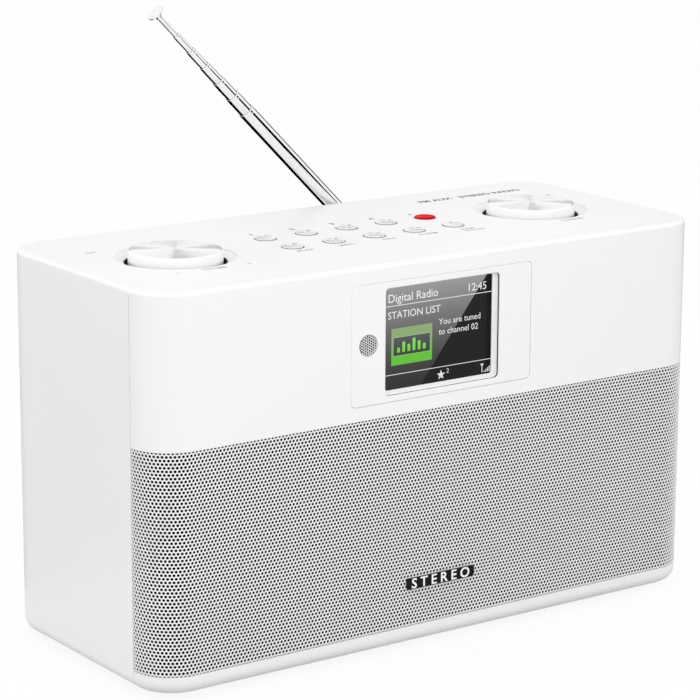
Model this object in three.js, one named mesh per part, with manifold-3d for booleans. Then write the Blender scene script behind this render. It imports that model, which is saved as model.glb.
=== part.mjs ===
// A tabletop stereo radio: moulded cabinet, perforated grille wrapped round the front corners,
// colour display, two push-and-turn knobs, ten buttons and a seven-section telescopic antenna.
// Millimetres, +Z up, front towards -Y, +X to the viewer's right. The origin is on the table,
// under the middle of the radio's outline with its antenna and badge.
import * as THREE from 'three';
import { mergeVertices } from 'three/addons/utils/BufferGeometryUtils.js';
import Module from 'manifold-3d';

const wasm = await Module();
wasm.setup();

// Clearances and cuts that every piece shares
const seatGap = 0.3; // between a piece and what it rests on
const fitGap = 0.3; // round a piece that is set into an opening
const slideGap = 0.15; // round a piece that slides or turns inside another
const overrun = 2; // how far a cut runs past the face that it opens
const rootDepth = 1; // how deep a moulded post starts inside its wall

// How finely round shapes are divided
const roundSides = 20;
const buttonSides = 16;
const smallSides = 12;
const cornerSteps = 6;
const filletSteps = 3;
const plateCornerSteps = 3;

// Cabinet
const cabinetWidth = 300;
const cabinetDepth = 129;
const cabinetHeight = 175.8;
const cornerRadius = 19.5;
const bottomRound = 5.7;
const topRound = 1.8;
const sideWall = 3;
const frontWall = 4;
const backWall = 3;
const floorWall = 3;
const lidThickness = 3;
const frameDepth = 19.5; // how far the front frame wraps along each side
const seamGap = 0.3;
const lipHeight = 4; // locating lip under the lid
const lipThickness = 1.6;
const lipSetback = 8; // from the side seam to the start of the lip

// Feet
const footHeight = 2.5;
const footRadius = 7;
const footRecess = 1;
const footInsetX = 30;
const footInsetY = 24;

// Grille, its cloth and the badge
const grilleThickness = 0.8;
const clothThickness = 0.4;
const trimHeight = 8.5; // bottom trim under the grille
const grilleToDisplay = 6.3; // from the grille's top edge up to the display panel
const badgeWidth = 37.5;
const badgeHeight = 5.2;
const badgeThickness = 1;
const badgeX = -1.3;
const badgeZ = 28.6;

// Display panel
const panelWidth = 99;
const panelHeight = 54.2;
const panelCorner = 2.5;
const panelX = -1.1;
const panelDrop = 34.9; // from the top surface down to the panel's middle
const flangeMargin = 3; // bezel flange behind the front wall
const flangeThickness = 1.6;
const windowWidth = 62.7;
const windowHeight = 48.2;
const windowCorner = 2;
const rebateDepth = 1.8; // from the front face to the ledge inside the window
const sightWidth = 58.6; // opening in the ledge
const sightHeight = 45.7;
const sightCorner = 1;
const sightShiftX = -0.7; // from the panel's middle to the middle of the ledge's opening
const sightShiftZ = 0.65;
const windowDepth = 2.6; // from the front face to the glass
const glassThickness = 1.2;
const glassMargin = 2; // glass hidden behind the ledge
const moduleMargin = 5; // display module past the window's edge
const moduleThickness = 4;
const sensorRadius = 4.6;
const sensorThickness = 0.8;
const sensorFromWindow = 9; // from the window's left edge to the sensor's middle
const sensorLightRadius = 3;

// Knobs and their rotary switches, measured down from the top surface
const knobInset = 51; // from the cabinet's side to the knob's middle
const knobRadius = 20.9;
const knobRise = 3.4;
const knobSkirt = 7.5; // how far the knob reaches below the top surface
const knobWall = 2;
const knobCrown = 2.6;
const knobChamfer = 0.4;
const hubRadius = 5;
const capThickness = 0.6;
const capSetback = 0.4; // width of the knob's rim round its cap
const dishRadius = 27;
const dishDepth = 2.1;
const knobGap = 1.9;
const wellDepth = 9.5;
const wellWall = 1.6;
const shaftRadius = 3;
const encoderSize = 14;
const encoderHeight = 6.5;
const encoderFloor = 1.2;
const neckRadius = 4.5;
const neckHeight = 5;
const plungerHeight = 3;
const pushTravel = 0.6;
const pushSpare = 0.4; // left under a piece that is pushed right down

// Buttons and the control board under them
const buttonRadius = 5;
const buttonRise = 0.8;
const buttonDish = 0.4;
const buttonChamfer = 0.3;
const buttonPitch = 22.35;
const buttonRowSpacing = 21.8;
const buttonsPerRow = 5;
const buttonFlange = 1.2;
const stemRadius = 1.75;
const stemEntry = 0.5; // how far a stem reaches into its switch
const switchSize = 6;
const switchHeight = 5;
const boardDrop = 24; // from the top surface down to the control board
const boardThickness = 1.6;
const boardMargin = 6;
const lidPostRadius = 3;
const lidPostX = 64;

// Loudspeakers
const speakerInset = 72; // from the cabinet's side to the speaker's middle
const speakerRadius = 38.5;
const speakerDepth = 24;
const coneOpening = 35;
const magnetRadius = 20;
const magnetHeight = 12;
const poleHole = 3;

// Frame posts and back screws
const postRadius = 5;
const postInsetX = 24;
const postRise = 22; // lower posts, from the cabinet's underside
const postDrop = 27; // upper posts, from the top surface
const screwShankRadius = 1.5;
const screwLength = 12;
const screwHeadRadius = 3.2;
const screwHeadHeight = 1.4;
const counterbore = 1.8;

// Main board and sockets
const mainBoardWidth = 130;
const mainBoardRise = 26; // its lower edge above the cabinet's underside
const mainBoardDrop = 52; // its upper edge below the top surface
const mainBoardX = 20;
const bossLength = 18;
const bossRadius = 3.5;
const bossInset = 7;
const socketZ = 40;
const socketPlateX = 49;
const socketPlateWidth = 48;
const socketPlateHeight = 20;
const socketPlateThickness = 1.5;
const socketPlateCorner = 3;
const socketPlateLedge = 4; // the plate's edge that rests on the back wall
const powerX = 60;
const powerBody = 11;
const powerNoseRadius = 3.9;
const powerBoreRadius = 2.85;
const powerBoreDepth = 9;
const powerPinRadius = 1;
const audioX = 38;
const audioBody = 8;
const audioNoseRadius = 3.2;
const audioBoreRadius = 1.85;
const audioBoreDepth = 13;

// Bass port
const portInset = 55; // from the cabinet's side to the port's middle
const portZ = 60;
const portBore = 16.5;
const portWall = 2;
const portLength = 45;
const portFlangeRadius = 25;
const portFlange = 1.6;
const portFlare = 5;

// Antenna
const antennaX = 60;
const antennaDrop = 28.5; // from the top surface down to the pivot
const antennaLean = THREE.MathUtils.degToRad(45);
const rodStandoff = 5; // from the back of the cabinet to the rod's axis
const tubeRadius = 3.85;
const radiusStep = 0.43;
const sectionCount = 7;
const sectionLength = 95;
const firstTop = 108.7; // from the pivot to the outer tube's open end
const stepLength = 10.7;
const lastStep = 12.8;
const tipRadius = 4.4;
const tipThickness = 3;
const tongueRadius = 3;
const tongueHalf = 1.5;
const earThickness = 2.4;
const earRadius = 3.4;
const pinRadius = 1.2;
const rotorRadius = 9;
const rotorThickness = 1;
const rotorShaftRadius = 4.2;
const bushWall = 3.4;
const bushFlange = 1.2;
const bushFlangeWidth = 2.4;
const bushInner = 4; // how far the bush reaches in past the back wall

// Places that follow from the sizes above, in the cabinet's own frame:
// its front is y = 0 and its underside z = 0
const halfWidth = cabinetWidth / 2;
const topZ = cabinetHeight;
const lidSeam = cabinetHeight - lidThickness;
const middleY = cabinetDepth / 2;
const backInside = cabinetDepth - backWall;
const panelZ = cabinetHeight - panelDrop;
const grilleTop = panelZ - panelHeight / 2 - grilleToDisplay;
const speakerX = halfWidth - speakerInset;
const speakerZ = (trimHeight + grilleTop) / 2;
const knobX = halfWidth - knobInset;
const wellRadius = knobRadius + knobGap;
const boardTop = topZ - boardDrop;
const postX = halfWidth - postInsetX;
const portX = portInset - halfWidth;
const postHeights = [postRise, topZ - postDrop];
const boardBack = backInside - bossLength - seatGap;
const boardFront = boardBack - boardThickness;
const pivotZ = topZ - antennaDrop;
const rodY = cabinetDepth + rodStandoff;

// Materials
function finish(color, roughness, metalness = 0) {
  return new THREE.MeshStandardMaterial({ color, roughness, metalness });
}
const whiteGloss = finish(0xf2f2f1, 0.25);
const whiteGrille = finish(0xe9e9e8, 0.45, 0.2);
const blackCloth = finish(0x0c0c0d, 0.95);
const silverWhite = finish(0xe4e4e3, 0.3, 0.4);
const buttonWhite = finish(0xf0f0ef, 0.3);
const buttonRed = finish(0xe0191c, 0.3);
const chromePlate = finish(0xc8cacc, 0.12, 1);
const darkPlate = finish(0x1c1d1f, 0.4);
const screenGlass = finish(0x0a0b0c, 0.08);
const blackPlastic = finish(0x17181a, 0.5);
const greyPlastic = finish(0x6f7275, 0.5);
const boardGreen = finish(0x1f5a38, 0.6);
const bareAluminium = finish(0xb7babd, 0.4, 0.9);
const darkSteel = finish(0x4a4c50, 0.4, 0.8);
const magnetGrey = finish(0x3a3b3d, 0.6, 0.3);
const conePaper = finish(0x232325, 0.85);
const greyRubber = finish(0x3b3b3c, 0.9);

// Turns a closed three.js geometry into a solid that can be joined and cut
function solid(geometry) {
  geometry.deleteAttribute('normal');
  geometry.deleteAttribute('uv');
  const merged = mergeVertices(geometry);
  const corners = merged.index.array;
  const kept = [];
  for (let i = 0; i < corners.length; i += 3) {
    const [a, b, c] = [corners[i], corners[i + 1], corners[i + 2]];
    if (a !== b && b !== c && c !== a) kept.push(a, b, c);
  }
  return new wasm.Manifold(new wasm.Mesh({
    numProp: 3,
    vertProperties: Float32Array.from(merged.attributes.position.array),
    triVerts: Uint32Array.from(kept),
  }));
}

// A box between two corners
function block(x0, x1, y0, y1, z0, z1) {
  const geometry = new THREE.BoxGeometry(x1 - x0, y1 - y0, z1 - z0);
  geometry.translate((x0 + x1) / 2, (y0 + y1) / 2, (z0 + z1) / 2);
  return solid(geometry);
}

// Lays a shape made round +Y along another axis, through a point on the other two
function layAlong(geometry, along, u, v) {
  if (along === 'x') geometry.rotateZ(-Math.PI / 2).translate(0, u, v);
  if (along === 'y') geometry.translate(u, 0, v);
  if (along === 'z') geometry.rotateX(Math.PI / 2).translate(u, v, 0);
  return solid(geometry);
}

// A round bar from one place to another along an axis
function bar(along, radius, from, to, u = 0, v = 0, sides = roundSides) {
  const geometry = new THREE.CylinderGeometry(radius, radius, to - from, sides);
  geometry.translate(0, (from + to) / 2, 0);
  return layAlong(geometry, along, u, v);
}

// A turned shape. Points are [radius, place along the axis]; they start and end on the axis,
// or close on themselves
function turned(along, points, u = 0, v = 0, sides = roundSides) {
  const last = points.length - 1;
  const closes = points[0][0] > 0 || points[last][0] > 0;
  const ring = closes ? [...points, points[0]] : points;
  let area = 0;
  ring.forEach(([r, h], i) => {
    const [nextR, nextH] = ring[(i + 1) % ring.length];
    area += r * nextH - nextR * h;
  });
  const ordered = area > 0 ? ring : [...ring].reverse();
  const profile = ordered.map(([r, h]) => new THREE.Vector2(r, h));
  return layAlong(new THREE.LatheGeometry(profile, sides), along, u, v);
}

// A flat plate with round corners that faces the front, between two depths
function plate(width, height, corner, from, to, x, z) {
  const quarter = Math.PI / 2;
  const [right, high] = [width / 2 - corner, height / 2 - corner];
  const shape = new THREE.Shape();
  shape.absarc(right, high, corner, 0, quarter);
  shape.absarc(-right, high, corner, quarter, 2 * quarter);
  shape.absarc(-right, -high, corner, 2 * quarter, 3 * quarter);
  shape.absarc(right, -high, corner, 3 * quarter, 4 * quarter);
  const depth = to - from;
  const geometry = new THREE.ExtrudeGeometry(shape, {
    depth, bevelEnabled: false, curveSegments: plateCornerSteps,
  });
  geometry.rotateX(quarter).translate(x, to, z);
  return solid(geometry);
}

// The cabinet's rounded outline as a solid. Each inset moves that side inwards
function cabinetForm({ side, front, back, bottom, top, lowRound, highRound }) {
  const radius = cornerRadius - side;
  const centreX = halfWidth - cornerRadius;
  const centres = [
    [centreX, cabinetDepth - back - radius],
    [-centreX, cabinetDepth - back - radius],
    [-centreX, front + radius],
    [centreX, front + radius],
  ];
  const levels = [];
  for (let step = 0; step <= filletSteps; step += 1) {
    const angle = (step / filletSteps) * (Math.PI / 2);
    const inset = lowRound * (1 - Math.sin(angle));
    levels.push({ z: bottom + lowRound * (1 - Math.cos(angle)), inset });
  }
  for (let step = 0; step <= filletSteps; step += 1) {
    const angle = (step / filletSteps) * (Math.PI / 2);
    const inset = highRound * (1 - Math.cos(angle));
    levels.push({ z: top - highRound * (1 - Math.sin(angle)), inset });
  }
  const used = levels.filter(({ z }, i) => i === 0 || z > levels[i - 1].z);
  const positions = [];
  used.forEach(({ z, inset }) => {
    centres.forEach(([x, y], corner) => {
      for (let step = 0; step <= cornerSteps; step += 1) {
        const angle = (corner + step / cornerSteps) * (Math.PI / 2);
        const reach = radius - inset;
        positions.push(x + reach * Math.cos(angle), y + reach * Math.sin(angle), z);
      }
    });
  });
  const count = centres.length * (cornerSteps + 1);
  const low = positions.length / 3;
  const high = low + 1;
  positions.push(0, middleY, bottom, 0, middleY, top);
  const index = [];
  const lastRing = (used.length - 1) * count;
  for (let i = 0; i < count; i += 1) {
    const next = (i + 1) % count;
    index.push(low, next, i, high, lastRing + i, lastRing + next);
    for (let ring = 0; ring < lastRing; ring += count) {
      index.push(ring + i, ring + next, ring + count + next);
      index.push(ring + i, ring + count + next, ring + count + i);
    }
  }
  const geometry = new THREE.BufferGeometry();
  geometry.setAttribute('position', new THREE.Float32BufferAttribute(positions, 3));
  geometry.setIndex(index);
  return solid(geometry);
}

// Names a finished solid and puts it in its group
function addPart(group, name, shape, material) {
  const { vertProperties, triVerts } = shape.getMesh();
  const geometry = new THREE.BufferGeometry();
  geometry.setAttribute('position', new THREE.BufferAttribute(Float32Array.from(vertProperties), 3));
  geometry.setIndex(new THREE.BufferAttribute(Uint32Array.from(triVerts), 1));
  geometry.computeVertexNormals();
  const mesh = new THREE.Mesh(geometry, material);
  mesh.name = name;
  group.add(mesh);
}

const cabinet = new THREE.Group();

// The cabinet's outer form and the space inside it
const outerForm = cabinetForm({
  side: 0, front: 0, back: 0, bottom: 0, top: topZ, lowRound: bottomRound, highRound: topRound,
});
const innerForm = cabinetForm({
  side: sideWall,
  front: frontWall,
  back: backWall,
  bottom: floorWall,
  top: topZ + overrun,
  lowRound: Math.max(bottomRound - floorWall, 0),
  highRound: 0,
});
const shell = outerForm.subtract(innerForm);
const reach = halfWidth + overrun;

// Everything outside a skin of the given thickness, over the grille's height
function grilleBand(inset, low, high) {
  const skin = cabinetForm({
    side: inset,
    front: inset,
    back: inset,
    bottom: low - overrun,
    top: high + overrun,
    lowRound: 0,
    highRound: 0,
  });
  return block(-reach, reach, -overrun, frameDepth, low, high).subtract(skin);
}

// Front frame: wraps both front corners, with the grille's recess, the speaker and display
// openings, and four posts that reach back to the screws
function frontFrame() {
  const band = grilleThickness + seatGap + clothThickness + seatGap;
  let shape = shell.intersect(block(-reach, reach, -overrun, frameDepth, -overrun, lidSeam));
  shape = shape.subtract(grilleBand(band, trimHeight, grilleTop));
  for (const x of [-speakerX, speakerX]) {
    shape = shape.subtract(bar('y', coneOpening, -overrun, frontWall + overrun, x, speakerZ));
  }
  shape = shape.subtract(
    plate(panelWidth, panelHeight, panelCorner, -overrun, frontWall + overrun, panelX, panelZ),
  );
  const postEnd = backInside - seatGap;
  for (const x of [-postX, postX]) {
    for (const z of postHeights) {
      shape = shape.add(bar('y', postRadius, frontWall - rootDepth, postEnd, x, z, smallSides));
      const pilot = screwShankRadius + slideGap;
      shape = shape.subtract(bar('y', pilot, postEnd - screwLength, postEnd + overrun, x, z, smallSides));
    }
  }
  addPart(cabinet, 'front_frame', shape, whiteGloss);
}

// Rear cabinet: sides, back and floor in one shell, with the openings in its back
function rearCabinet() {
  let shape = shell.intersect(
    block(-reach, reach, frameDepth + seamGap, cabinetDepth + overrun, -overrun, lidSeam),
  );
  for (const x of mainBoardCorners.x) {
    for (const z of mainBoardCorners.z) {
      const bossEnd = backInside - bossLength;
      shape = shape.add(bar('y', bossRadius, bossEnd, backInside + rootDepth, x, z, smallSides));
    }
  }
  const outside = cabinetDepth + overrun;
  const inside = backInside - overrun;
  for (const x of [-postX, postX]) {
    for (const z of postHeights) {
      const floorY = cabinetDepth - counterbore;
      shape = shape.subtract(bar('y', screwHeadRadius + fitGap, floorY, outside, x, z, smallSides));
      shape = shape.subtract(bar('y', screwShankRadius + slideGap, inside, outside, x, z, smallSides));
    }
  }
  const bushRadius = rotorShaftRadius + slideGap + bushWall;
  shape = shape.subtract(bar('y', bushRadius + fitGap, inside, outside, antennaX, pivotZ));
  const bushSeat = cabinetDepth - bushFlange - seatGap;
  shape = shape.subtract(bar(
    'y', bushRadius + bushFlangeWidth + fitGap, bushSeat, outside, antennaX, pivotZ,
  ));
  shape = shape.subtract(bar('y', portBore + portWall + fitGap, inside, outside, portX, portZ));
  shape = shape.subtract(bar(
    'y', portFlangeRadius + fitGap, cabinetDepth - portFlange - seatGap, outside, portX, portZ,
  ));
  shape = shape.subtract(plate(
    socketPlateWidth + 2 * fitGap, socketPlateHeight + 2 * fitGap, socketPlateCorner + fitGap,
    cabinetDepth - socketPlateThickness - seatGap, outside, socketPlateX, socketZ,
  ));
  shape = shape.subtract(plate(
    socketPlateWidth - 2 * socketPlateLedge, socketPlateHeight - socketPlateLedge, socketPlateCorner,
    inside, outside, socketPlateX, socketZ,
  ));
  for (const [x, y] of footPlaces) {
    shape = shape.subtract(bar('z', footRadius + fitGap, -overrun, footRecess, x, y, buttonSides));
  }
  addPart(cabinet, 'rear_cabinet', shape, whiteGloss);
}

// Lid: the whole top surface, with a dished well for each knob, the button holes,
// a locating lip and the posts that carry the control board
function topPanel() {
  let shape = outerForm.intersect(block(
    -reach, reach, -overrun, cabinetDepth + overrun, lidSeam, topZ + overrun,
  ));
  const lipOutside = sideWall + fitGap;
  const lip = cabinetForm({
    side: lipOutside, front: lipOutside, back: backWall + fitGap,
    bottom: lidSeam - lipHeight, top: lidSeam + rootDepth, lowRound: 0, highRound: 0,
  }).subtract(cabinetForm({
    side: lipOutside + lipThickness, front: lipOutside + lipThickness, back: backWall + fitGap + lipThickness,
    bottom: lidSeam - lipHeight - overrun, top: lidSeam + overrun, lowRound: 0, highRound: 0,
  }));
  const lipFront = frameDepth + seamGap + lipSetback;
  shape = shape.add(lip.intersect(
    block(-reach, reach, lipFront, cabinetDepth, lidSeam - lipHeight, lidSeam + rootDepth),
  ));
  const wellFloor = topZ - wellDepth;
  for (const x of [-knobX, knobX]) {
    shape = shape.add(bar('z', wellRadius + wellWall, wellFloor - wellWall, lidSeam + rootDepth, x, middleY));
    shape = shape.subtract(turned('z', [
      [0, wellFloor],
      [wellRadius, wellFloor],
      [wellRadius, topZ - dishDepth],
      [dishRadius, topZ],
      [dishRadius, topZ + overrun],
      [0, topZ + overrun],
    ], x, middleY));
    shape = shape.subtract(bar('z', neckRadius, wellFloor - wellWall - overrun, topZ, x, middleY));
  }
  for (const [x, y] of buttonPlaces) {
    shape = shape.subtract(bar(
      'z', buttonRadius + fitGap, lidSeam - overrun, topZ + overrun, x, y, buttonSides,
    ));
  }
  for (const x of [-lidPostX, lidPostX]) {
    for (const y of boardPostRows) {
      shape = shape.add(bar('z', lidPostRadius, boardTop + seatGap, lidSeam + rootDepth, x, y, smallSides));
    }
  }
  addPart(cabinet, 'top_panel', shape, whiteGloss);
}

// Grille, the black cloth behind it and the blank badge on it
function grille() {
  const low = trimHeight + fitGap;
  const high = grilleTop - fitGap;
  const clothFace = grilleThickness + seatGap;
  const sheet = outerForm.intersect(grilleBand(grilleThickness, low, high));
  const cloth = cabinetForm({
    side: clothFace, front: clothFace, back: clothFace, bottom: low, top: high, lowRound: 0, highRound: 0,
  }).intersect(grilleBand(clothFace + clothThickness, low, high));
  addPart(cabinet, 'speaker_grille', sheet, whiteGrille);
  addPart(cabinet, 'grille_cloth', cloth, blackCloth);
  const halfBadge = badgeWidth / 2;
  const badgeLow = badgeZ - badgeHeight / 2;
  const badge = block(
    badgeX - halfBadge, badgeX + halfBadge, -badgeThickness, 0, badgeLow, badgeLow + badgeHeight,
  );
  addPart(cabinet, 'badge_plate', badge, darkPlate);
}

// Display: bezel plate with its window, glass, module and the light sensor's mesh disc
function display() {
  const bezelBack = frontWall + seatGap + flangeThickness;
  const ledge = windowDepth - seatGap;
  const sightX = panelX + sightShiftX;
  const sightZ = panelZ + sightShiftZ;
  const pocketWidth = sightWidth + 2 * glassMargin;
  const pocketHeight = sightHeight + 2 * glassMargin;
  const sensorX = panelX - windowWidth / 2 - sensorFromWindow;
  let bezel = plate(
    panelWidth - 2 * fitGap, panelHeight - 2 * fitGap, panelCorner - fitGap, 0, bezelBack, panelX, panelZ,
  );
  bezel = bezel.add(plate(
    panelWidth + 2 * flangeMargin, panelHeight + 2 * flangeMargin, panelCorner,
    frontWall + seatGap, bezelBack, panelX, panelZ,
  ));
  bezel = bezel.subtract(plate(
    windowWidth, windowHeight, windowCorner, -overrun, rebateDepth, panelX, panelZ,
  ));
  bezel = bezel.subtract(plate(
    sightWidth, sightHeight, sightCorner, 0, bezelBack + overrun, sightX, sightZ,
  ));
  bezel = bezel.subtract(plate(
    pocketWidth, pocketHeight, windowCorner, ledge, bezelBack + overrun, sightX, sightZ,
  ));
  bezel = bezel.subtract(bar(
    'y', sensorRadius + fitGap, -overrun, sensorThickness + seatGap, sensorX, panelZ,
  ));
  bezel = bezel.subtract(bar(
    'y', sensorLightRadius, -overrun, bezelBack + overrun, sensorX, panelZ, smallSides,
  ));
  addPart(cabinet, 'display_bezel', bezel, whiteGloss);
  addPart(cabinet, 'display_window', plate(
    pocketWidth - 2 * fitGap, pocketHeight - 2 * fitGap, windowCorner,
    windowDepth, windowDepth + glassThickness, sightX, sightZ,
  ), screenGlass);
  const moduleFront = bezelBack + seatGap;
  addPart(cabinet, 'display_module', plate(
    windowWidth + 2 * moduleMargin, windowHeight + 2 * moduleMargin, windowCorner,
    moduleFront, moduleFront + moduleThickness, panelX, panelZ,
  ), bareAluminium);
  addPart(cabinet, 'sensor_mesh', bar('y', sensorRadius, 0, sensorThickness, sensorX, panelZ), darkSteel);
}

// One knob with its cap, shaft and push-and-turn switch. The group's z = 0 is the top surface
function knob(prefix, x) {
  const group = new THREE.Group();
  group.position.set(x, middleY, topZ);
  const bore = shaftRadius + slideGap;
  const underCrown = knobRise - knobCrown;
  const capRadius = knobRadius - knobChamfer - capSetback;
  const recessRadius = capRadius + slideGap;
  const recessFloor = knobRise - capThickness - seatGap;
  addPart(group, `${prefix}_knob`, turned('z', [
    [0, underCrown],
    [bore, underCrown],
    [bore, -knobSkirt],
    [hubRadius, -knobSkirt],
    [hubRadius, underCrown],
    [knobRadius - knobWall, underCrown],
    [knobRadius - knobWall, -knobSkirt],
    [knobRadius, -knobSkirt],
    [knobRadius, knobRise - knobChamfer],
    [knobRadius - knobChamfer, knobRise],
    [recessRadius, knobRise],
    [recessRadius, recessFloor],
    [0, recessFloor],
  ]), silverWhite);
  addPart(group, `${prefix}_knob_cap`, bar('z', capRadius, knobRise - capThickness, knobRise), silverWhite);
  const bodyFloor = -boardDrop + seatGap;
  const bodyTop = bodyFloor + encoderHeight;
  const boreFloor = bodyFloor + encoderFloor;
  const plungerLow = boreFloor + pushTravel + pushSpare;
  const plungerHigh = plungerLow + plungerHeight;
  const half = encoderSize / 2;
  const encoder = block(-half, half, -half, half, bodyFloor, bodyTop)
    .add(bar('z', neckRadius - fitGap, bodyTop - rootDepth, bodyTop + neckHeight, 0, 0, smallSides))
    .subtract(bar('z', bore, boreFloor, bodyTop + neckHeight + overrun, 0, 0, smallSides));
  addPart(group, `${prefix}_encoder`, encoder, greyPlastic);
  const plunger = bar('z', shaftRadius, plungerLow, plungerHigh, 0, 0, smallSides);
  addPart(group, `${prefix}_plunger`, plunger, blackPlastic);
  addPart(
    group,
    `${prefix}_shaft`,
    bar('z', shaftRadius, plungerHigh + seatGap, underCrown - seatGap, 0, 0, smallSides),
    bareAluminium,
  );
  cabinet.add(group);
}

// One button with its flange under the lid and its stem down into the switch
function button(number, x, y) {
  const group = new THREE.Group();
  group.position.set(x, y, topZ);
  const flangeTop = -lidThickness - seatGap;
  const flangeRadius = buttonRadius + fitGap + buttonFlange;
  const stemEnd = -boardDrop + switchHeight - stemEntry;
  const shape = turned('z', [
    [0, stemEnd],
    [stemRadius, stemEnd],
    [stemRadius, flangeTop - buttonFlange],
    [flangeRadius, flangeTop - buttonFlange],
    [flangeRadius, flangeTop],
    [buttonRadius, flangeTop],
    [buttonRadius, buttonRise - buttonChamfer],
    [buttonRadius - buttonChamfer, buttonRise],
    [0, buttonRise - buttonDish],
  ], 0, 0, buttonSides);
  addPart(group, `button_${number}`, shape, number === buttonsPerRow ? buttonRed : buttonWhite);
  cabinet.add(group);
}

// Control board under the lid, with a tact switch body under each button
function controlBoard() {
  const halfX = knobX + encoderSize / 2 + boardMargin;
  const halfY = buttonRowSpacing / 2 + switchSize / 2 + boardMargin;
  const boardLow = boardTop - boardThickness;
  let shape = block(-halfX, halfX, middleY - halfY, middleY + halfY, boardLow, boardTop);
  const switchTop = boardTop + switchHeight;
  const boreFloor = switchTop - stemEntry - pushTravel - pushSpare;
  const half = switchSize / 2;
  for (const [x, y] of buttonPlaces) {
    shape = shape.add(block(x - half, x + half, y - half, y + half, boardLow, switchTop));
    shape = shape.subtract(bar('z', stemRadius + fitGap, boreFloor, switchTop + overrun, x, y, smallSides));
  }
  addPart(cabinet, 'control_board', shape, boardGreen);
}

// One loudspeaker: steel basket, paper cone with its dust cap, and magnet.
// Points are shares of the speaker's radius and depth
const basketShares = [
  [0.9, 0], [1, 0], [1, 0.08], [0.93, 0.08], [0.54, 1], [0.2, 1], [0.2, 0.93], [0.5, 0.93], [0.9, 0.05],
];
const coneShares = [
  [0, 0.5], [0.16, 0.55], [0.27, 0.68], [0.86, 0.05], [0.86, 0.09], [0.26, 0.76], [0.18, 0.8], [0, 0.8],
];
function speaker(prefix, x) {
  const front = frontWall + seatGap;
  const scaled = (shares) => shares.map(([r, y]) => [r * speakerRadius, front + y * speakerDepth]);
  const back = front + speakerDepth + seatGap;
  addPart(cabinet, `${prefix}_speaker_basket`, turned('y', scaled(basketShares), x, speakerZ), darkSteel);
  addPart(cabinet, `${prefix}_speaker_cone`, turned('y', scaled(coneShares), x, speakerZ), conePaper);
  const magnet = bar('y', magnetRadius, back, back + magnetHeight, x, speakerZ)
    .subtract(bar('y', poleHole, back - overrun, back + magnetHeight + overrun, x, speakerZ, smallSides));
  addPart(cabinet, `${prefix}_speaker_magnet`, magnet, magnetGrey);
}

// Main board on the back wall's bosses
function mainBoard() {
  const [x0, x1] = [mainBoardX - mainBoardWidth / 2, mainBoardX + mainBoardWidth / 2];
  const [z0, z1] = [mainBoardRise, topZ - mainBoardDrop];
  addPart(cabinet, 'main_board', block(x0, x1, boardFront, boardBack, z0, z1), boardGreen);
}

// Sockets on the main board and the plate that they show through
function sockets() {
  const plateInside = cabinetDepth - socketPlateThickness;
  let shape = plate(
    socketPlateWidth, socketPlateHeight, socketPlateCorner, plateInside, cabinetDepth, socketPlateX, socketZ,
  );
  const front = boardBack + seatGap;
  const places = [
    ['power_socket', powerX, powerBody, powerNoseRadius, powerBoreRadius, powerBoreDepth],
    ['aux_socket', audioX, audioBody, audioNoseRadius, audioBoreRadius, audioBoreDepth],
  ];
  for (const [name, x, body, nose, bore, depth] of places) {
    const half = body / 2;
    const bodyBack = backInside;
    let socket = block(x - half, x + half, front, bodyBack, socketZ - half, socketZ + half)
      .add(bar('y', nose, bodyBack - rootDepth, cabinetDepth, x, socketZ))
      .subtract(bar('y', bore, cabinetDepth - depth, cabinetDepth + overrun, x, socketZ));
    if (name === 'power_socket') {
      const pinEnd = cabinetDepth - socketPlateThickness;
      const pin = bar('y', powerPinRadius, cabinetDepth - depth - rootDepth, pinEnd, x, socketZ, smallSides);
      socket = socket.add(pin);
    }
    addPart(cabinet, name, socket, blackPlastic);
    shape = shape.subtract(bar(
      'y', nose + fitGap, plateInside - overrun, cabinetDepth + overrun, x, socketZ,
    ));
  }
  addPart(cabinet, 'socket_plate', shape, blackPlastic);
}

// Bass port: a flared tube set into the back
function bassPort() {
  const mouth = cabinetDepth;
  const outer = portBore + portWall;
  const halfFlare = portFlare / 2;
  addPart(cabinet, 'bass_port', turned('y', [
    [portBore, mouth - portLength],
    [outer, mouth - portLength],
    [outer, mouth - portFlange],
    [portFlangeRadius, mouth - portFlange],
    [portFlangeRadius, mouth],
    [portBore + halfFlare, mouth],
    [portBore + halfFlare / 2, mouth - halfFlare],
    [portBore, mouth - 2 * portFlare],
  ], portX, portZ), blackPlastic);
}

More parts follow.
